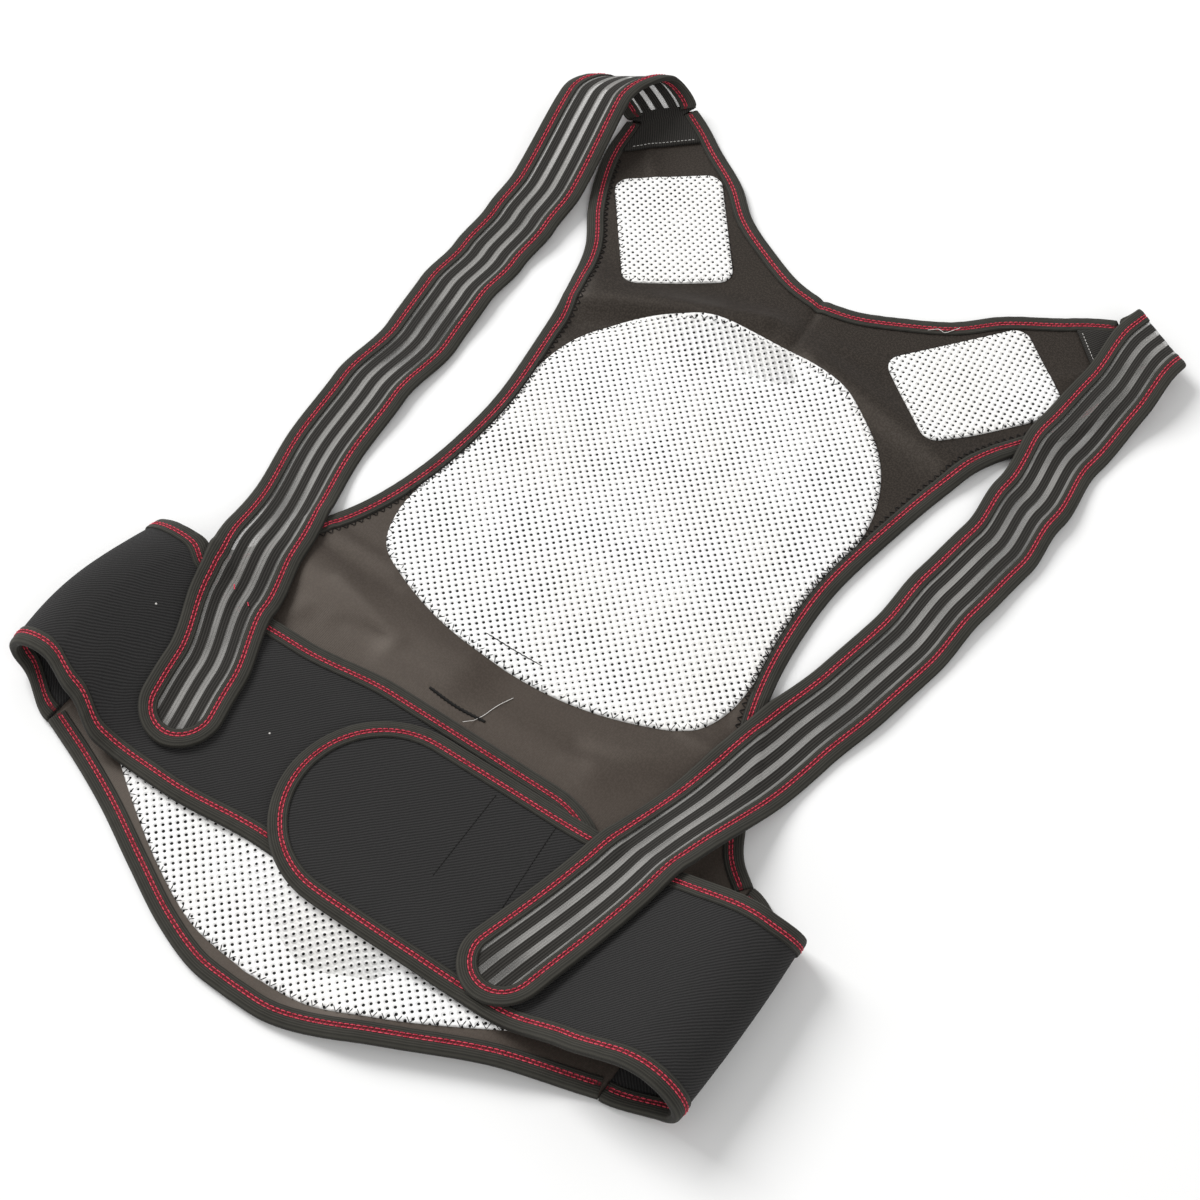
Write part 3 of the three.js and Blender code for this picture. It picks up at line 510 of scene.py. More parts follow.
looks = {
    "jersey": jerseyMaterial(),
    "tape": tapeMaterial(),
    "spacer": spacerMaterial(),
    "loop": loopMaterial(),
    "strap": strapMaterial(),
    "red": threadMaterial("redThread", (0.34, 0.016, 0.036), (0.76, 0.085, 0.13), 900.0),
    "black": threadMaterial("blackThread", (0.003, 0.003, 0.003), (0.012, 0.011, 0.010), 900.0),
    "white": threadMaterial("whiteThread", (0.60, 0.58, 0.55), (0.85, 0.83, 0.80), 700.0),
}


def place(piece, look, *nodes):
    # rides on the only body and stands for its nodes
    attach(piece, "root")
    if nodes:
        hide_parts(*nodes)
    return piece


print("materials made")

# The back panel

panelSizes = {
    "neckHeight": 441.0, "beltHigh": 73.0, "beltLow": 66.0, "seamHalf": 186.0, "underarmHalf": 121.5,
    "armReach": 516.0, "armSpread": 176.0, "armHeading": 44.0, "waistRow": 85.0, "neckShare": 0.56,
    "strapWidth": 47.0, "tipOut": 0.033, "flatLength": 0.665,
    "wave": 0.22, "waves": (23, 41, 31, 37, 1.3, 0.8),
    "underarm": ((0.165, 0.78), (0.227, 0.52), (0.296, 0.24), (0.365, 0.085), (0.446, 0.008), (0.504, 0.008),
                 (0.587, 0.1), (0.688, 0.256), (0.76, 0.44), (0.815, 0.72), (0.869, 0.93), (0.915, 1.05)),
    "neck": ((0, 0), (0.136, 0.045), (0.296, 0.17), (0.475, 0.35), (0.617, 0.585), (0.796, 0.79),
             (0.9, 0.915), (1, 1)),
    "tail": ((0, 0), (0.134, 0.02), (0.296, 0.158), (0.484, 0.4), (0.672, 0.655), (0.833, 0.838), (1, 1)),
    # welts and creases: x and y of both ends in millimetres, half width, rise
    "welts": ((-123, 368, -9, 403, 14, 4.6), (17, 397, 134, 380, 15, 3.5), (-143, 97, -22, 93, 17, 3.8),
              (78, 86, 123, 128, 14, 2.9), (-84, 243, 74, 185, 30, 1.9), (74, -104, 126, -79, 34, 8.3)),
    # the arm tips lift with the straps sewn to them: x and y of both ends, half width, rise
    "tips": ((-176, 516, -157, 534, 15, 4.0), (176, 516, 157, 534, 15, 1.6)),
    "creases": ((-150, 300, -128, 250, 3, -0.8), (-112, 100, -60, 84, 4, 0.9), (-96, 76, -20, 92, 3, -0.7),
                (126, 150, 112, 190, 4, 0.8), (20, 412, 60, 420, 5, 0.9), (-1, 440, 5, 400, 2.4, -1.5),
                (-128, 352, -20, 404, 7, 2.8), (-118, 334, -60, 372, 7, -2.0), (22, 396, 128, 372, 7, 1.5),
                (-146, 124, -90, 124, 3, 1.1), (-140, 112, -84, 110, 4, -0.9), (104, 129, 124, 129, 3, 1.0),
                (-60, 78, 60, 80, 8, 1.2), (60, 88, 120, 100, 5, -1.1),
                (-150, 470, -176, 500, 5, 0.7), (150, 470, 176, 496, 5, 0.8), (-160, 20, -120, 70, 6, 0.8)),
}


def humps(x, y, rows):
    # each row adds rise * exp(-(distance to its line / width) squared)
    total = np.zeros_like(x)
    for x0, y0, x1, y1, width, rise in rows:
        dx, dy = x1 - x0, y1 - y0
        w = np.clip(((x - x0) * dx + (y - y0) * dy) / (dx * dx + dy * dy), 0, 1)
        away = np.hypot(x - x0 - w * dx, y - y0 - w * dy) / width
        total = total + rise * np.exp(-away ** 2)
    return total


def waved(x, y, waves):
    # soft waves along both ways, each shifted by a slower one across it
    a, b, c, d, lead, sway = waves
    return np.sin(x / a + lead * np.sin(y / b)) * np.sin(y / c + sway * np.sin(x / d))


def panelHeight(x, y):
    # height of the panel's middle surface: its rest height, the welts and soft creases
    p = panelSizes
    rest = cloth["panel"] / 2 + cloth["gap"] + cloth["tape"]
    lifted = sum(humps(x, y, p[key]) for key in ("welts", "creases", "tips"))
    return rest + lifted + p["wave"] * (1 + waved(x, y, p["waves"]))


def onPanel(line, above=0.0):
    # plan points set over the panel's middle surface
    return np.column_stack([line, panelHeight(line[:, 0], line[:, 1]) + above])


def headed(side, degrees):
    # a way ahead that leans outward on its side
    heading = math.radians(degrees)
    return np.array([side * math.sin(heading), math.cos(heading)])


def armTip(side):
    # the arm tip's seam: middle, way ahead, and its inner and outer corners
    p = panelSizes
    ahead = headed(side, p["armHeading"])
    across = np.array([-side * ahead[1], side * ahead[0]])
    middle = np.array([side * p["armSpread"], p["armReach"]])
    half = p["strapWidth"] / 2
    return middle, ahead, middle + across * half, middle - across * half


def panelLines(count):
    # right half: underarm from belt to tip, neck from spine to tip, tail from spine to belt
    p = panelSizes
    _, _, inner, outer = armTip(1)
    flare = [(p["underarmHalf"] + (p["seamHalf"] - p["underarmHalf"]) * out, up * p["armReach"])
             for up, out in p["underarm"]]
    neck = [(out * inner[0], p["neckHeight"] + (inner[1] - p["neckHeight"]) * up) for out, up in p["neck"]]
    tail = [(out * p["seamHalf"], -tailDrop + (tailDrop - p["beltLow"]) * up) for out, up in p["tail"]]
    return (smoothLine([(p["seamHalf"], p["beltHigh"]), *flare, outer], count),
            smoothLine(neck, count), smoothLine(tail, count))


panelCells = {"columns": 52, "beltRows": 44, "spineRows": 76, "armRows": 46,
              "linePoints": 800, "rimPoints": 600}


def panelGrid():
    # rows of the right half: the belt runs from the tail's curve to a straight row, then
    # each row is straight from the spine, and later the neck, to the underarm
    p = panelSizes
    columns = panelCells["columns"]
    u = np.linspace(0, 1, columns + 1)[:, None]
    underarm, neck, tail = panelLines(panelCells["linePoints"])
    lineShare = np.linspace(0, 1, len(neck))
    tailRow = spread(tail, columns)
    waist = (0, p["waistRow"]) + u * (p["seamHalf"], p["beltHigh"] - p["waistRow"])
    v = np.linspace(0, 1, panelCells["beltRows"] + 1)[:, None, None]
    belt = tailRow + (waist - tailRow) * v
    t = np.linspace(0, 1, panelCells["spineRows"] + 1)[1:]
    spine = np.stack([0 * t, p["waistRow"] + (p["neckHeight"] - p["waistRow"]) * t], 1)
    side = valuesAt(p["neckShare"] * t, lineShare, underarm)
    middle = spine[:, None] + (side - spine)[:, None] * u
    t = np.linspace(0, 1, panelCells["armRows"] + 1)[1:]
    start = valuesAt(t, lineShare, neck)
    end = valuesAt(p["neckShare"] + (1 - p["neckShare"]) * t, lineShare, underarm)
    arm = start[:, None] + (end - start)[:, None] * u
    return np.concatenate([belt, middle, arm])


reliefSizes = {"cell": 2.5, "low": (-300.0, -200.0), "cells": (240, 320), "hang": 20, "across": 3}


class Relief:
    # the height of what lies below, on a square raster of the plan
    def __init__(self):
        self.cell = reliefSizes["cell"]
        self.low = np.array(reliefSizes["low"])
        self.height = np.zeros(reliefSizes["cells"])

    def cover(self, points, above):
        at = np.rint((points[..., :2].reshape(-1, 2) - self.low) / self.cell).astype(int)
        np.maximum.at(self.height, (at[:, 0], at[:, 1]), points[..., 2].ravel() + above)

    def widened(self, times, drop):
        # each cell rises to its highest neighbour less the drop over the way to it
        wide = self.height.copy()
        for _ in range(times):
            around = np.pad(wide, 1, mode="edge")
            for i, j in np.ndindex(3, 3):
                far = math.hypot(i - 1, j - 1) * self.cell
                near = around[i:i + wide.shape[0], j:j + wide.shape[1]]
                wide = np.maximum(wide, near - drop * far)
        return wide

    def sample(self, raster, points):
        at = (points[..., :2] - self.low) / self.cell
        return between(raster, at[..., 0], at[..., 1])

    def settle(self, grid, clearance, loose, calmness=6, rounds=3):
        # the cloth rises to where it hangs over its ground, is smoothed, and is kept clear
        touch = self.widened(1, 0.0)
        hang = self.sample(self.widened(reliefSizes["hang"], cloth["slope"]), grid)
        z = np.where(loose, np.maximum(grid[..., 2], hang + clearance), grid[..., 2])
        for _ in range(rounds):
            calm = blurred(blurred(z, calmness, 0), reliefSizes["across"], 1)
            calm = np.maximum(calm, self.sample(touch, grid) + clearance)
            z = np.where(loose, calm, z)
        return np.concatenate([grid[..., :2], z[..., None]], -1)


relief = Relief()

tapeEdge = {
    "inside": 0.05, "rows": (5.1, 6.9), "pitch": 3.2, "stitch": 3.05, "thread": 0.36, "arch": 0.25,
    "seat": 0.05, "step": 1.6,
    # the section: distance in from the rim, share of the tape's height, rise above that
    "outer": ((tapeWidth, 1, -0.25), (tapeWidth - 0.6, 1, 0), (7.6, 1, 0.12), (6.3, 1, -0.22),
              (5.0, 1, 0.12), (2.6, 1, 0.25), (0.9, 1, 0), (-0.3, 0.78, 0), (-0.95, 0.4, 0), (-1.1, 0, 0)),
    "inner": ((tapeWidth, -1), (1.2, -1), (0.2, 0), (1.2, 1), (tapeWidth, 1)),
    # rises and lengths of the puckers in its height
    "pucker": (0.05, 2.1, 7.7, 0.03, 1.3),
}


def edgeTape(name, rim, lining, sheetHalf, node, bothFaces=False):
    # a folded tape: a U of fixed section carried along the rim, its arms towards the lining
    inward = unit(lining - rim)
    along = unit(np.gradient(rim, axis=0))
    up = unit(np.cross(along, inward))
    if up[0, 2] < 0:
        up = -up
    high = sheetHalf + cloth["gap"] + cloth["tape"]
    low = sheetHalf + tapeEdge["inside"]
    outer = [(d, share * high + rise) for d, share, rise in tapeEdge["outer"]]
    inner = [(d, share * low) for d, share in tapeEdge["inner"]]
    section = np.array(outer + [(d, -h) for d, h in outer[-2::-1]] + inner)
    run = lengthsOf(rim)
    deep, short, long, shallow, fine = tapeEdge["pucker"]
    pucker = 1 + deep * np.sin(run / short) * np.sin(run / long + 1) + shallow * np.sin(run / fine)
    tall = section[:, 1] * pucker[:, None]
    reach = np.linalg.norm(lining - rim, axis=1)[:, None] / tapeWidth
    out = section[:, 0] * reach
    points = rim[:, None] + inward[:, None] * out[..., None] + up[:, None] * tall[..., None]
    faces = ringFaces(*points.shape[:2])
    probe = np.cross(points[1, 1] - points[0, 1], points[0, 2] - points[0, 1])
    if np.dot(probe, up[0]) > 0:
        faces = [part[:, ::-1] for part in faces]
    acrossCloth = np.minimum(np.abs(section[:, 0]), tapeWidth)
    uv = np.stack(np.broadcast_arrays(run[:, None], acrossCloth), -1) * 0.001
    tape = place(addMesh(name, points, faces, looks["tape"], uv), "tape", node)
    rows = []
    for face in ((1, -1) if bothFaces else (1,)):
        for row in tapeEdge["rows"]:
            line = rim + inward * (row * reach) + up * face * (high + tapeEdge["seat"])
            rows.append(stitchRow(line, up * face, tapeEdge["pitch"], tapeEdge["stitch"]))
    starts, ends, ways = (np.concatenate(part) for part in zip(*rows))
    stitches = beads(name + "_stitches", starts, ends, ways, tapeEdge["thread"], tapeEdge["arch"], "red")
    relief.cover(points, 0.0)
    return tape, stitches


half = panelGrid()
rowsCount, columnsCount = half.shape[:2]
flip = np.array([-1, 1])
panelPoints = np.concatenate([onPanel(part.reshape(-1, 2)) for part in (half, half[:, ::-1] * flip)])
panelFaces = np.concatenate([gridFaces(rowsCount, columnsCount, first)
                             for first in (0, rowsCount * columnsCount)])
panelTop = cloth["panel"] / 2
relief.cover(panelPoints, panelTop)
panel = addMesh("panel", panelPoints, [panelFaces], looks["jersey"], weld=True)
place(thicken(panel, cloth["panel"]), "jersey", "back_panel")

underarm, neck, tail = panelLines(panelCells["rimPoints"])


def panelTape(name, line, inset, node):
    rim = spread(line, int(lengthsOf(line)[-1] / tapeEdge["step"]) - 1, cloth["gap"])
    return edgeTape(name, onPanel(rim), onPanel(insetLine(rim, inset)), panelTop, node)


neckLine = np.vstack([(neck * flip)[::-1], neck[1:]])
tailLine = np.vstack([(tail * flip)[::-1], tail[1:]])
panelTapes = [
    *panelTape("neckTape", neckLine, -tapeWidth, "neck_binding"),
    *panelTape("tailTape", tailLine, tapeWidth, "tail_binding"),
    *panelTape("rightUnderarmTape", underarm, tapeWidth, "right_underarm_binding"),
    *panelTape("leftUnderarmTape", underarm * flip, -tapeWidth, "left_underarm_binding"),
]

# The soft white patches

patchSizes = {
    "ovalHalf": 118.0, "ovalHeight": 290.0, "ovalFoot": 104.0,
    "oval": ((0.01, 0.28), (0.052, 0.68), (0.103, 0.915), (0.18, 0.995), (0.3, 1), (0.57, 0.985),
             (0.71, 0.965), (0.8, 0.89), (0.87, 0.775), (0.93, 0.6), (0.98, 0.355)),
    "lumbarHalf": 152.0, "lumbarTop": 34.0, "lumbarDrop": 117.0,
    "lumbar": ((0, 1), (0.26, 0.965), (0.5, 0.84), (0.75, 0.66), (1, 0.45)),
    "shoulder": {"length": 94.0, "width": 71.0, "radius": 10.0, "setback": 102.0, "heading": 38.5},
    "crown": 0.9, "rim": 3.2, "zigzag": 3.2, "swing": 5.0, "inset": 2.2, "thread": 0.32, "arch": 0.15,
    "clear": 0.2,
    # the rings from the rim inward as shares of the way from the heart, and the depths of
    # the two lowest, then the rim's height and the dip under the stitches
    "outerRings": (1, 1, 1, 0.993, 0.98), "innerRings": (0.96, 0.04, 32), "depths": ((0.6,), (0.4,)),
    "edge": 0.35, "dip": 0.55, "dipHalf": 1.1, "sunk": 0.75,
    "ovalPoints": 360, "lumbarCurve": 40, "lumbarPoints": 340, "shoulderCurve": 160, "shoulderPoints": 200,
}


def ovalOutline(bare=None):
    # the oval, drawn in where the underarm tape would cover it
    rows = [(out * patchSizes["ovalHalf"], patchSizes["ovalFoot"] + up * patchSizes["ovalHeight"])
            for up, out in patchSizes["oval"]]
    loop = rows + [(-x, y) for x, y in rows[::-1]]
    outline = smoothLine(loop, patchSizes["ovalPoints"], closed=True)[:-1]
    if bare is not None:
        most = np.interp(outline[:, 1], bare[:, 1], bare[:, 0])
        outline[:, 0] = np.clip(outline[:, 0], -most, most)
    return outline


def lumbarOutline():
    p = patchSizes
    lower = smoothLine([(out * p["lumbarHalf"], -down * p["lumbarDrop"]) for out, down in p["lumbar"]],
                       p["lumbarCurve"])
    right = np.vstack([lower, [(p["lumbarHalf"], p["lumbarTop"] - tapeWidth)],
                       [(p["lumbarHalf"] - tapeWidth, p["lumbarTop"])]])
    around = np.vstack([right, right[:0:-1] * flip, right[:1]])
    return spread(around, p["lumbarPoints"])[:-1]


def shoulderOutline(side):
    s = patchSizes["shoulder"]
    forward = headed(side, s["heading"])
    across = np.array([forward[1], -forward[0]])
    centre = armTip(side)[0] - forward * s["setback"]
    t = np.linspace(0, 2 * math.pi, patchSizes["shoulderCurve"], endpoint=False)
    wide, long = s["width"] / 2 - s["radius"], s["length"] / 2 - s["radius"]
    x = np.sign(np.cos(t)) * wide + s["radius"] * np.cos(t)
    y = np.sign(np.sin(t)) * long + s["radius"] * np.sin(t)
    ring = centre + x[:, None] * across + y[:, None] * forward
    return spread(np.vstack([ring, ring[:1]]), patchSizes["shoulderPoints"])[:-1]


def patchPiece(name, outline, heartEnds, node, turn=0.0):
    # rings shrink from the outline to a line inside it; the top swells from a thin rim
    p = patchSizes
    shares = np.concatenate([p["outerRings"], np.linspace(*p["innerRings"])])[:, None]
    a, b = np.array(heartEnds, float)
    w = np.clip(((outline - a) @ (b - a)) / ((b - a) @ (b - a)), 0, 1)[:, None]
    heart = a + (b - a) * w
    away = np.linalg.norm(outline - heart, axis=1)
    plan = heart + (outline - heart) * shares[..., None]
    inside = away * (1 - shares)
    rim = np.clip(inside / p["rim"], 0, 1)
    ground = panelHeight(plan[..., 0], plan[..., 1]) + panelTop
    swell = (cloth["patch"] + p["crown"] - p["edge"]) * np.sqrt(1 - (1 - rim) ** 2)
    top = ground + p["edge"] + swell - p["dip"] * np.exp(-((inside - p["inset"]) / p["dipHalf"]) ** 2)
    top[:2] = ground[:2] - p["depths"]
    # the mesh holds its lowest ring last, after the one at the heart
    points = np.roll(np.concatenate([plan, top[..., None]], -1), -1, axis=0)
    rings, around = len(points) - 1, len(outline)
    walls, under, heartFace = ringFaces(rings, around)
    k = np.arange(around)
    following = (k + 1) % around
    lowest = rings * around
    base = np.stack([lowest + following, lowest + k, k, following], -1)
    faces = [walls, base, lowest + under, heartFace]
    # the dots follow the patch's own axes
    turn = math.radians(turn)
    axes = np.array([[math.cos(turn), -math.sin(turn)], [math.sin(turn), math.cos(turn)]])
    piece = addMesh(name, points, faces, looks["spacer"], points[..., :2] @ axes * 0.001, weld=True)
    place(piece, "spacer", node)
    relief.cover(points, 0.0)
    line = heart + (outline - heart) * (1 - p["inset"] / away)[:, None]
    path = onPanel(np.vstack([line, line[:1]]), panelTop + cloth["patch"] + p["crown"] - p["sunk"])
    stitches = zigzag(path, p["zigzag"], p["swing"])
    threads = beads(name + "Zigzag", *stitches, p["thread"], p["arch"], "black")
    flatArea(points * [1, 1, 0], faces[0])
    return piece


shoulderTurn = patchSizes["shoulder"]["heading"]
bare = insetLine(underarm, tapeWidth + patchSizes["clear"])
patchPiece("ovalPatch", ovalOutline(bare), ((0, 215), (0, 290)), "center_patch")
patchPiece("lumbarPatch", lumbarOutline(), ((-100, -16), (100, -16)), "lumbar_patch")
patchPiece("leftShoulderPatch", shoulderOutline(-1), ((-122, 424), (-108, 447)),
           "left_shoulder_patch", shoulderTurn)
patchPiece("rightShoulderPatch", shoulderOutline(1), ((122, 424), (108, 447)),
           "right_shoulder_patch", -shoulderTurn)

overlockSizes = {"off": 0.9, "stations": 499, "ends": 30.0, "pitch": 2.4, "swing": 3.6,
                 "onPatch": 1.7, "onPanel": 0.3}


def overlock(name, side):
    # dark teeth of thread along the inner edge of an underarm tape, on whatever lies there
    o = overlockSizes
    line = insetLine(underarm * [side, 1], side * (tapeWidth + o["off"]))
    path = spread(line, o["stations"], o["ends"])
    oval = ovalOutline()
    oval = oval[oval[:, 0] > 0]
    oval = oval[np.argsort(oval[:, 1])]
    reach = np.interp(path[:, 1], oval[:, 1], oval[:, 0], left=0, right=0)
    above = np.where(reach > np.abs(path[:, 0]) - 1, o["onPatch"], o["onPanel"])
    stitches = zigzag(onPanel(path, panelTop + above), o["pitch"], o["swing"])
    return beads(name, *stitches, patchSizes["thread"], patchSizes["arch"], "black")


overlock("leftOverlock", -1)
overlock("rightOverlock", 1)
print("patches made")

# Belt wings and shoulder straps

# reach and rise of a fold's points as shares of its height
foldRows = ((-1.7, 0), (-0.85, 0.02), (-0.4, 0.08), (-0.12, 0.24), (0, 0.52), (-0.14, 0.82), (-0.48, 0.98),
            (-0.9, 0.96), (-1.5, 0.74), (-2.2, 0.42), (-3, 0.17), (-3.8, 0.04), (-4.6, 0))
bandSizes = {"step": 2.6, "tipRows": 16, "columns": 33, "edgePoints": 400, "turnPoints": 160,
             "tapeStep": 1.7, "thin": 0.001, "foldPoints": 240}


class FoldSection:
    # reach and rise of a fold along its cloth, straight on beyond both of its ends
    def __init__(self, height, startReach, endReach):
        rows = np.array(foldRows, float) * height
        rows[0, 0] = -max(startReach, height)
        self.line = smoothLine(rows, bandSizes["foldPoints"])
        self.run = lengthsOf(self.line)
        self.length = self.run[-1] + self.line[-1, 0] + endReach
        self.apex = self.run[np.argmax(self.line[:, 1])]

    def at(self, length):
        reach = np.interp(length, self.run, self.line[:, 0])
        rise = np.interp(length, self.run, self.line[:, 1])
        return reach + np.minimum(length, 0) - np.maximum(length - self.run[-1], 0), rise


class Band:
    # a long strip with a round end; middle and half width are functions of the length
    def __init__(self, begin, straight, tip, middle, halfWidth, lay):
        self.begin, self.straight, self.tip = begin, straight, tip
        self.middle, self.halfWidth = middle, halfWidth
        turn = np.linspace(0, math.pi / 2, bandSizes["tipRows"])[1:]
        body = np.linspace(begin, straight, int((straight - begin) / bandSizes["step"]) + 1)
        self.along = np.concatenate([body, straight + tip * np.sin(turn)])
        self.narrow = np.concatenate([np.ones(len(body)), np.cos(turn)])
        self.t = np.linspace(-1, 1, bandSizes["columns"])
        mid, wide = middle(self.along), halfWidth(self.along) * self.narrow
        across = mid[:, None] + wide[:, None] * self.t
        self.flat = np.stack(np.broadcast_arrays(self.along[:, None], across), -1)
        self.grid = lay(self.flat[..., 0], self.flat[..., 1])

    def evenTip(self):
        # towards the point of the tip the rows shrink, and so do their differences in height
        z = self.grid[..., 2]
        level = z.mean(1, keepdims=True)
        self.grid[..., 2] = level + (z - level) * self.narrow[:, None]

    def sample(self, flat):
        # the settled surface at flat places
        along, across = flat.T
        wide = self.halfWidth(along) * np.interp(along, self.along, self.narrow)
        t = np.clip((across - self.middle(along)) / np.maximum(wide, bandSizes["thin"]), -1, 1)
        row = np.interp(along, self.along, np.arange(len(self.along)))
        return between(self.grid, row, (t + 1) / 2 * (len(self.t) - 1))

    def edgeLine(self, inset):
        # the rim in the flat cloth: along one side, round the tip and back along the other
        body = np.linspace(cloth["gap"], self.straight, bandSizes["edgePoints"])
        turn = np.linspace(0, math.pi, bandSizes["turnPoints"])[1:-1]
        mid, wide = self.middle(body), self.halfWidth(body) - inset
        arc = np.stack([self.straight + (self.tip - inset) * np.sin(turn),
                        mid[-1] - wide[-1] * np.cos(turn)], 1)
        return np.vstack([np.stack([body, mid - wide], 1), arc, np.stack([body, mid + wide], 1)[::-1]])

    def dress(self, name, look, thickness, node):
        # the cloth, its tape, and the sheet that both are
        size = self.grid.shape[:2]
        faces = gridFaces(*size)
        fromMiddle = self.flat - np.stack([0 * self.along, self.middle(self.along)], -1)[:, None]
        made = addMesh(name, self.grid, [faces], looks[look], fromMiddle * 0.001, weld=True)
        place(thicken(made, thickness), look, node)
        # rim and lining are the same line at no inset and at one tape width
        rim, lining = (self.sample(self.edgeLine(inset)) for inset in (0.0, tapeWidth))
        run = lengthsOf(rim)
        at = np.linspace(0, run[-1], int(run[-1] / bandSizes["tapeStep"]))
        rim, lining = (valuesAt(at, run, blurred(line, 2, 0)) for line in (rim, lining))
        threads = edgeTape(name + "Tape", rim, lining, thickness / 2, node + "_binding", bothFaces=True)
        relief.cover(self.grid, thickness / 2)
        flat = (2 * float(np.max(self.halfWidth(self.along))) * 0.001,
                float(self.along[-1] - self.begin) * 0.001)
        print(name, "made, flat", [round(v, 3) for v in flat])


wingSizes = {
    "height": 116.0, "tip": 58.0, "wave": 0.25, "waves": (17, 29, 21, 1, 1.1, 0), "looseFrom": 12.0,
    "left": {
        "side": -1, "reach": 229.0, "fold": 30.0, "past": 128.0,
        "slant": 0.03, "bulge": 14.0, "lean": -0.004,
        "middle": ((0, 0.03), (0.09, 0.07), (0.19, 0.08), (0.25, 0.02), (0.32, -0.05), (0.45, -0.045),
                   (0.6, 0.005), (1, 0.005)),
        "tall": ((0, 1.2), (0.09, 1), (0.19, 0.98), (0.25, 0.98), (0.32, 1.01), (0.45, 1.02),
                 (0.6, 1.03), (1, 1.03)),
    },
    "right": {
        "side": 1, "reach": 228.0, "fold": 38.0, "past": 54.0,
        "slant": 0.0, "bulge": 4.0, "lean": -0.0015,
        "middle": ((0, 0.03), (0.1, 0.005), (0.22, -0.02), (0.36, -0.055), (0.52, -0.09), (1, -0.1)),
        "tall": ((0, 1.2), (0.1, 1.02), (0.22, 0.95), (0.36, 0.98), (0.52, 1.01), (1, 1)),
    },
}


def wingPiece(which, node):
    w = wingSizes[which]
    tall, tip = wingSizes["height"], wingSizes["tip"]
    side = w["side"]
    section = FoldSection(w["fold"], w["reach"] - panelSizes["seamHalf"] - cloth["gap"],
                          w["reach"] + w["past"] - tip)
    total = section.length + tip
    rest = cloth["wing"] / 2 + cloth["gap"] + cloth["tape"]

    def lay(along, across):
        # x follows the fold's reach, drawn in at its ends by the bulge; z its rise, leaning
        reach, rise = section.at(along)
        y = side * across
        up = rise / w["fold"]
        inward = w["bulge"] * (2 * y / tall) ** 2
        x = side * (w["reach"] + reach - inward * up) + w["slant"] * y * up
        soft = wingSizes["wave"] * (1 + waved(along, across, wingSizes["waves"]))
        return np.stack([x, y, rest + rise * (1 + w["lean"] * y) + soft], -1)

    band = Band(0.0, section.length, tip, lambda s: side * eased(w["middle"], s / total) * tall,
                lambda s: eased(w["tall"], s / total) * tall / 2, lay)
    loose = (band.along > section.apex + wingSizes["looseFrom"])[:, None]
    band.grid = relief.settle(band.grid, rest + cloth["gap"], loose)
    band.evenTip()
    band.dress(which + "Wing", "loop", cloth["wing"], node)
    return band


strapSizes = {
    "tip": 24.0, "tab": 27.0, "tabRise": 3.1, "tabRun": 34.0, "tabEase": 1.5, "tabGap": 0.5,
    "foldAngle": 27.0, "foldReach": 196.0, "foldHeight": 526.0, "calmness": 30,
    "left": {
        "side": -1, "fold": 36.0, "lean": -0.005, "length": 618.0,
        "shift": ((0, 0), (0.05, -0.2), (0.12, -0.49), (0.24, -0.49), (0.295, -0.56), (0.35, -0.68),
                  (0.41, -0.79), (0.475, -0.83), (0.56, -1.02), (0.64, -1.09), (0.77, -0.91),
                  (0.84, -0.79), (0.92, -0.6), (1, -0.54)),
        "lift": ((0, 0), (0.24, 0), (0.295, 3), (0.35, 0), (0.41, 3.2), (0.475, 0), (0.56, 2.4), (0.64, 0),
                 (0.77, 0), (1, 0)),
    },
    "right": {
        "side": 1, "fold": 19.0, "lean": 0.0, "length": 630.0,
        "shift": ((0, 0), (0.06, -0.04), (0.135, 0.06), (0.21, 0.13), (0.29, 0.36), (0.35, 0.51),
                  (0.42, 0.55), (0.49, 0.64), (0.56, 0.64), (0.63, 0.58), (0.73, 0.57), (0.83, 0.49),
                  (1, 0.36)),
        "lift": ((0, 0), (0.21, 0), (0.29, 3), (0.35, 0.6), (0.42, 2.6), (0.49, 0), (0.56, 1.6), (0.63, 0),
                 (0.73, 1), (0.83, 0), (1, 0)),
    },
}


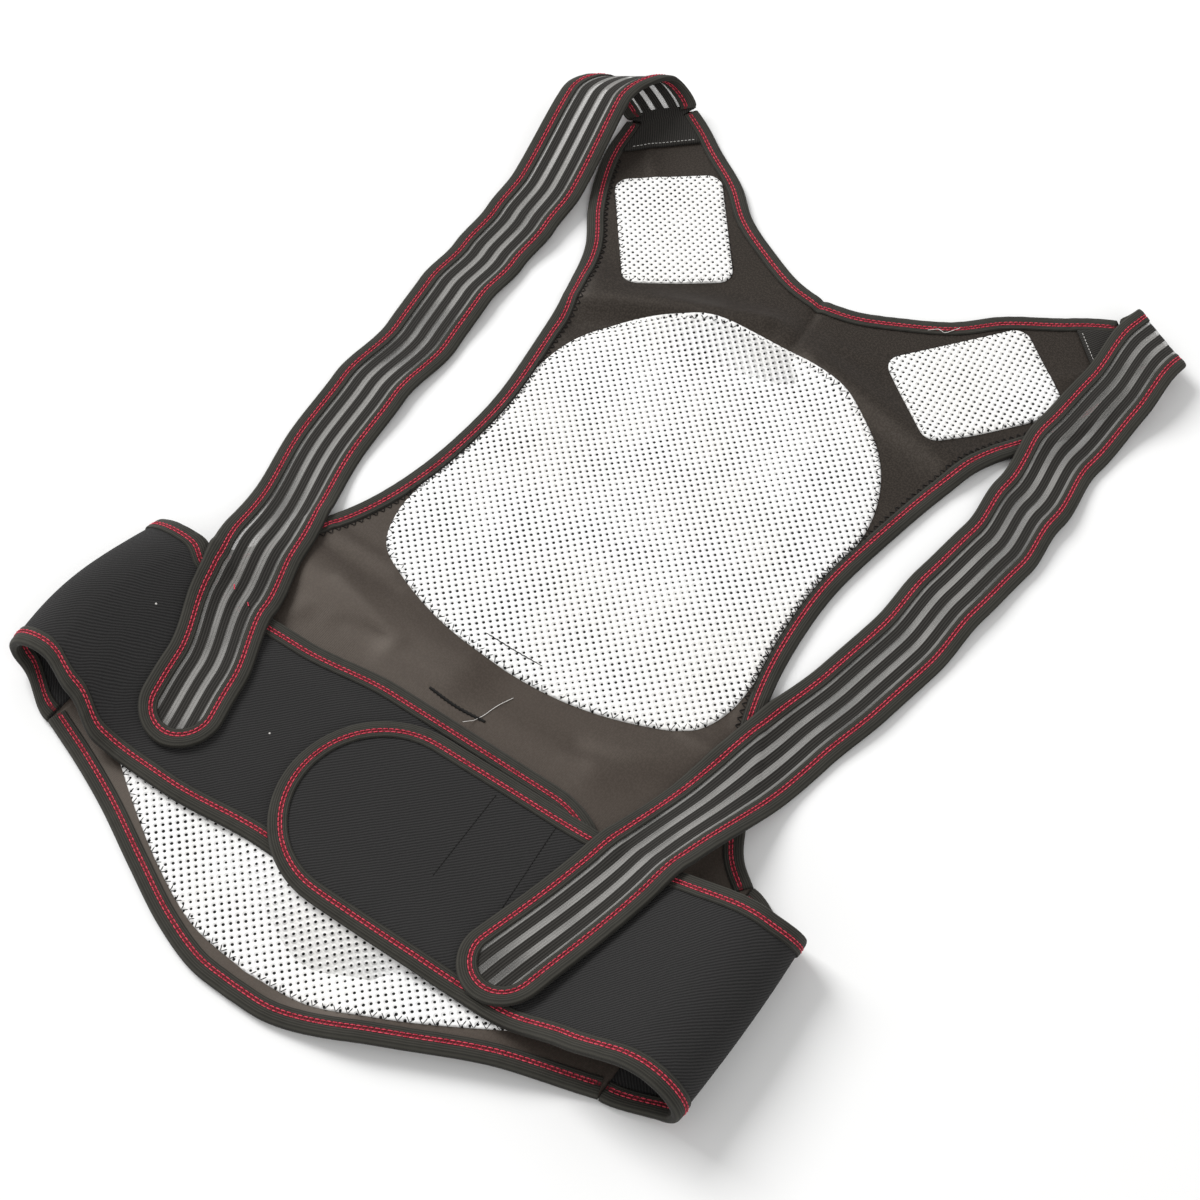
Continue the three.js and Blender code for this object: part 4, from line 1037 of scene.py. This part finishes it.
def strapPiece(which, node):
    s = strapSizes[which]
    side, wide = s["side"], panelSizes["strapWidth"]
    middle, ahead, _, _ = armTip(side)
    beyond = side * np.array([ahead[1], -ahead[0]])
    over = headed(side, strapSizes["foldAngle"])
    beside = np.array([over[1], -over[0]])
    foldAt = np.array([side * strapSizes["foldReach"], strapSizes["foldHeight"]])
    section = FoldSection(s["fold"], wide, s["length"])
    rest = cloth["strap"] / 2 + cloth["gap"] + cloth["tape"]

    def lay(along, across):
        # the flat place is turned about the shoulder's fold line, and ripples lift it
        flat = middle + along[..., None] * ahead + across[..., None] * beyond - foldAt
        reach, rise = section.at(flat @ over + wide)
        sideways = flat @ beside
        plan = foldAt + sideways[..., None] * beside + reach[..., None] * over
        ripple = eased(s["lift"], along / s["length"]) * cloth["strap"]
        z = rest + rise * (1 + side * s["lean"] * sideways) + ripple
        return np.concatenate([plan, z[..., None]], -1)

    # the sewn tab lies between the panel's two tapes, whose offsets from its middle are
    # read at each length back from the seam
    offsets = []
    inset = tapeWidth + strapSizes["tabGap"]
    for line in (insetLine(underarm, inset), insetLine(neck, -inset)):
        local = line * [side, 1] - middle
        back, off = -local @ ahead, local @ beyond
        near = back < 3 * strapSizes["tab"]
        order = np.argsort(back[near])
        offsets.append((back[near][order], off[near][order]))

    def tabEdges(along):
        # both edges of the tab, and how far the cloth has turned into it
        sides = [np.interp(-along, back, off) for back, off in offsets]
        return np.minimum(*sides), np.maximum(*sides), np.clip(-along / strapSizes["tabEase"], 0, 1)

    def halfWide(along):
        low, high, sewn = tabEdges(along)
        return wide / 2 + ((high - low) / 2 - wide / 2) * sewn

    def middleOf(along):
        low, high, sewn = tabEdges(along)
        return (high + low) / 2 * sewn + side * eased(s["shift"], along / s["length"]) * wide

    tip = strapSizes["tip"]
    band = Band(-strapSizes["tab"], s["length"] - tip, tip, middleOf, halfWide, lay)
    sewnOn = panelHeight(band.grid[..., 0], band.grid[..., 1]) + panelTop + cloth["strap"] / 2
    before = np.maximum(band.grid[..., 2] + strapSizes["tabRise"], sewnOn + cloth["gap"])
    band.grid = relief.settle(band.grid, rest + cloth["gap"], True, calmness=strapSizes["calmness"])
    w = smooth(np.clip(band.along / strapSizes["tabRun"], 0, 1)[:, None])
    band.grid[..., 2] = before * (1 - w) + band.grid[..., 2] * w
    band.evenTip()
    band.dress(which + "Strap", "strap", cloth["strap"], node)
    return band


bands = {
    "leftWing": wingPiece("left", "left_wing"),
    "rightWing": wingPiece("right", "right_wing"),
    "leftStrap": strapPiece("left", "left_strap"),
    "rightStrap": strapPiece("right", "right_strap"),
}

# Seams, slits and loose threads

details = {
    # the line of each slit, its cord's radius, its stitches' pitch and swing, and its height
    "slits": {
        "panelSlit": (((-27.1, 71.5), (-8.6, 70.4), (11.1, 71.9)), 0.85, 1.3, 2.8, 0.0),
        "ovalSlit": (((-22.3, 117.9), (-2.6, 118.0), (15.6, 118.8)), 0.30, 1.9, 1.0,
                     cloth["patch"] + patchSizes["crown"] - 0.05),
    },
    # the line of each thread, its radius, its height, the step between points used, its look
    "threads": {
        "longHair": (((14.5, 93.3), (11.3, 85.5), (8.4, 74.8), (2.8, 63.0)), 0.17, 0.32, 4, "white"),
        "neckHair": (((66.0, 457.3), (71.0, 461.8), (75.9, 461.3), (81.4, 470.3)), 0.17, 0.32, 4, "white"),
        "redEnd": (((-153.0, 54.6), (-151.2, 52.6)), 0.36, 0.15, 8, "red"),
        "redTick": (((-141.2, 51.6), (-139.4, 50.2)), 0.36, 0.15, 8, "red"),
    },
    # faint seams of the right wing: along and across of both ends in the flat cloth
    "wingSeams": ((247.2, 36.3, 245.5, -23.6), (210.1, 42.2, 204.7, -17.5)),
    "seam": {"pitch": 2.2, "stitch": 2.0, "thread": 0.29},
    "tabSeam": {"back": 24.8, "inset": 1.2, "pitch": 2.5, "stitch": 1.8, "thread": 0.2},
    "teeth": 0.3, "slitStep": 6, "seamArch": 0.12, "seamSeat": 0.02,
    # points along a strand, a line on top and a seam, and how often such a line is evened out
    "strandPoints": 60, "topPoints": 40, "seamPoints": 120, "evened": 12,
}


def strand(name, path, radius, look, sides=6):
    # a round thread along a smooth path, closed at both ends
    line = smoothLine(path, details["strandPoints"])
    along = unit(np.gradient(line, axis=0))
    beside = unit(np.cross([0.0, 0.0, 1.0], along))[:, None]
    up = np.cross(along[:, None], beside)
    angle = (np.arange(sides) * 2 * math.pi / sides)[:, None]
    points = line[:, None] + radius * (np.cos(angle) * beside + np.sin(angle) * up)
    return place(addMesh(name, points, ringFaces(len(line), sides), looks[look]), look)


def onTop(line, above):
    # plan points set on whatever lies there, the height evened out along the line
    dense = spread(np.array(line, float), details["topPoints"])
    z = relief.sample(relief.widened(1, 0.0), dense)
    return np.column_stack([dense, blurred(z, details["evened"], 0) + above])


for name, (line, radius, pitch, swing, above) in details["slits"].items():
    path = onPanel(smoothLine(line, details["strandPoints"]), panelTop + above)
    strand(name, path[::details["slitStep"]], radius, "black")
    stitches = zigzag(path, pitch, swing)
    beads(name + "Teeth", *stitches, details["seam"]["thread"], details["teeth"], "black")

for name, (line, radius, above, every, look) in details["threads"].items():
    strand(name, onTop(line, above)[::every], radius, look)


def flatSeam(name, band, ends, thickness, sizes, look):
    # a row of small stitches on a band's upper face, straight in its flat cloth
    path = band.sample(spread(np.array(ends, float).reshape(2, 2), details["seamPoints"]))
    path[:, 2] = blurred(path[:, 2], 3, 0) + thickness / 2 + details["seamSeat"]
    stitches = stitchRow(path, np.zeros_like(path) + [0, 0, 1], sizes["pitch"], sizes["stitch"])
    return beads(name, *stitches, sizes["thread"], details["seamArch"], look)


for i, ends in enumerate(details["wingSeams"]):
    flatSeam(f"wingSeam{i + 1}", bands["rightWing"], ends, cloth["wing"], details["seam"], "black")

sizes = details["tabSeam"]
for which in ("left", "right"):
    band = bands[which + "Strap"]
    at = np.array([-sizes["back"]])
    reach, mid = band.halfWidth(at)[0] - sizes["inset"], band.middle(at)[0]
    ends = (at[0], mid - reach, at[0], mid + reach)
    flatSeam(which + "TabSeam", band, ends, cloth["strap"], sizes, "white")

print("seams, slits and threads made")

# Floor, light and camera

stage = {
    "floor": 4.0, "tone": (0.88, 0.88, 0.875), "skyStrength": 0.54,
    # power, size and place of each light
    "lights": {"key": (250.0, 2.6, (-3.96, 0.67, 3.6)), "fill": (60.0, 4.0, (3.2, -1.8, 3.8))},
}
cameraSizes = {"height": 1006.8, "x": 400.5, "y": -365.9, "heading": -35.4465, "down": 56.5, "lens": 63.0}


def floorPiece():
    g = Graph("paleFloor")
    grain = g.noise(g.place(), 3.0, 3.0)
    tone = g.mix(grain * 0.3, stage["tone"], tuple(v * 0.96 for v in stage["tone"]))
    material = g.finish(Base_Color=tone, Roughness=0.8)
    reach = stage["floor"] * 500
    corners = reach * np.array([(-1, -1, 0), (1, -1, 0), (1, 1, 0), (-1, 1, 0)])
    floor = addMesh("floor", corners - shift, [np.array([[0, 1, 2, 3]])], material)


def softLight(name, power, size, spot):
    # a large square light that faces the brace
    data = bpy.data.lights.new(name, "AREA")
    data.energy = power
    data.size = size
    lamp = addObject(name, data)
    lamp.location = spot
    lamp.rotation_euler = (-Vector(spot)).to_track_quat("-Z", "Y").to_euler()


def photoCamera():
    # right, up and back axes from the heading and the angle down
    heading, down = math.radians(cameraSizes["heading"]), math.radians(cameraSizes["down"])
    level = Vector((math.sin(heading), math.cos(heading), 0))
    ahead = level * math.cos(down) - Vector((0, 0, math.sin(down)))
    right = Vector((math.cos(heading), -math.sin(heading), 0))
    up = right.cross(ahead)
    data = bpy.data.cameras.new("camera")
    data.lens = cameraSizes["lens"]
    data.sensor_width = 36.0
    camera = addObject("camera", data)
    spot = np.array([cameraSizes[key] for key in ("x", "y", "height")]) + shift * [1, 1, 0]
    turn = Matrix((right, up, -ahead)).transposed().to_4x4()
    camera.matrix_world = Matrix.Translation((spot * 0.001).tolist()) @ turn
    bpy.context.scene.camera = camera


floorPiece()
world = bpy.data.worlds.new("studio")
world.use_nodes = True
world.node_tree.nodes["Background"].inputs[0].default_value = (1, 1, 1, 1)
world.node_tree.nodes["Background"].inputs[1].default_value = stage["skyStrength"]
bpy.context.scene.world = world
bpy.context.scene.view_settings.view_transform = "Standard"
for name, (power, size, spot) in stage["lights"].items():
    softLight(name, power, size, spot)
photoCamera()
print("floor, light and camera made")
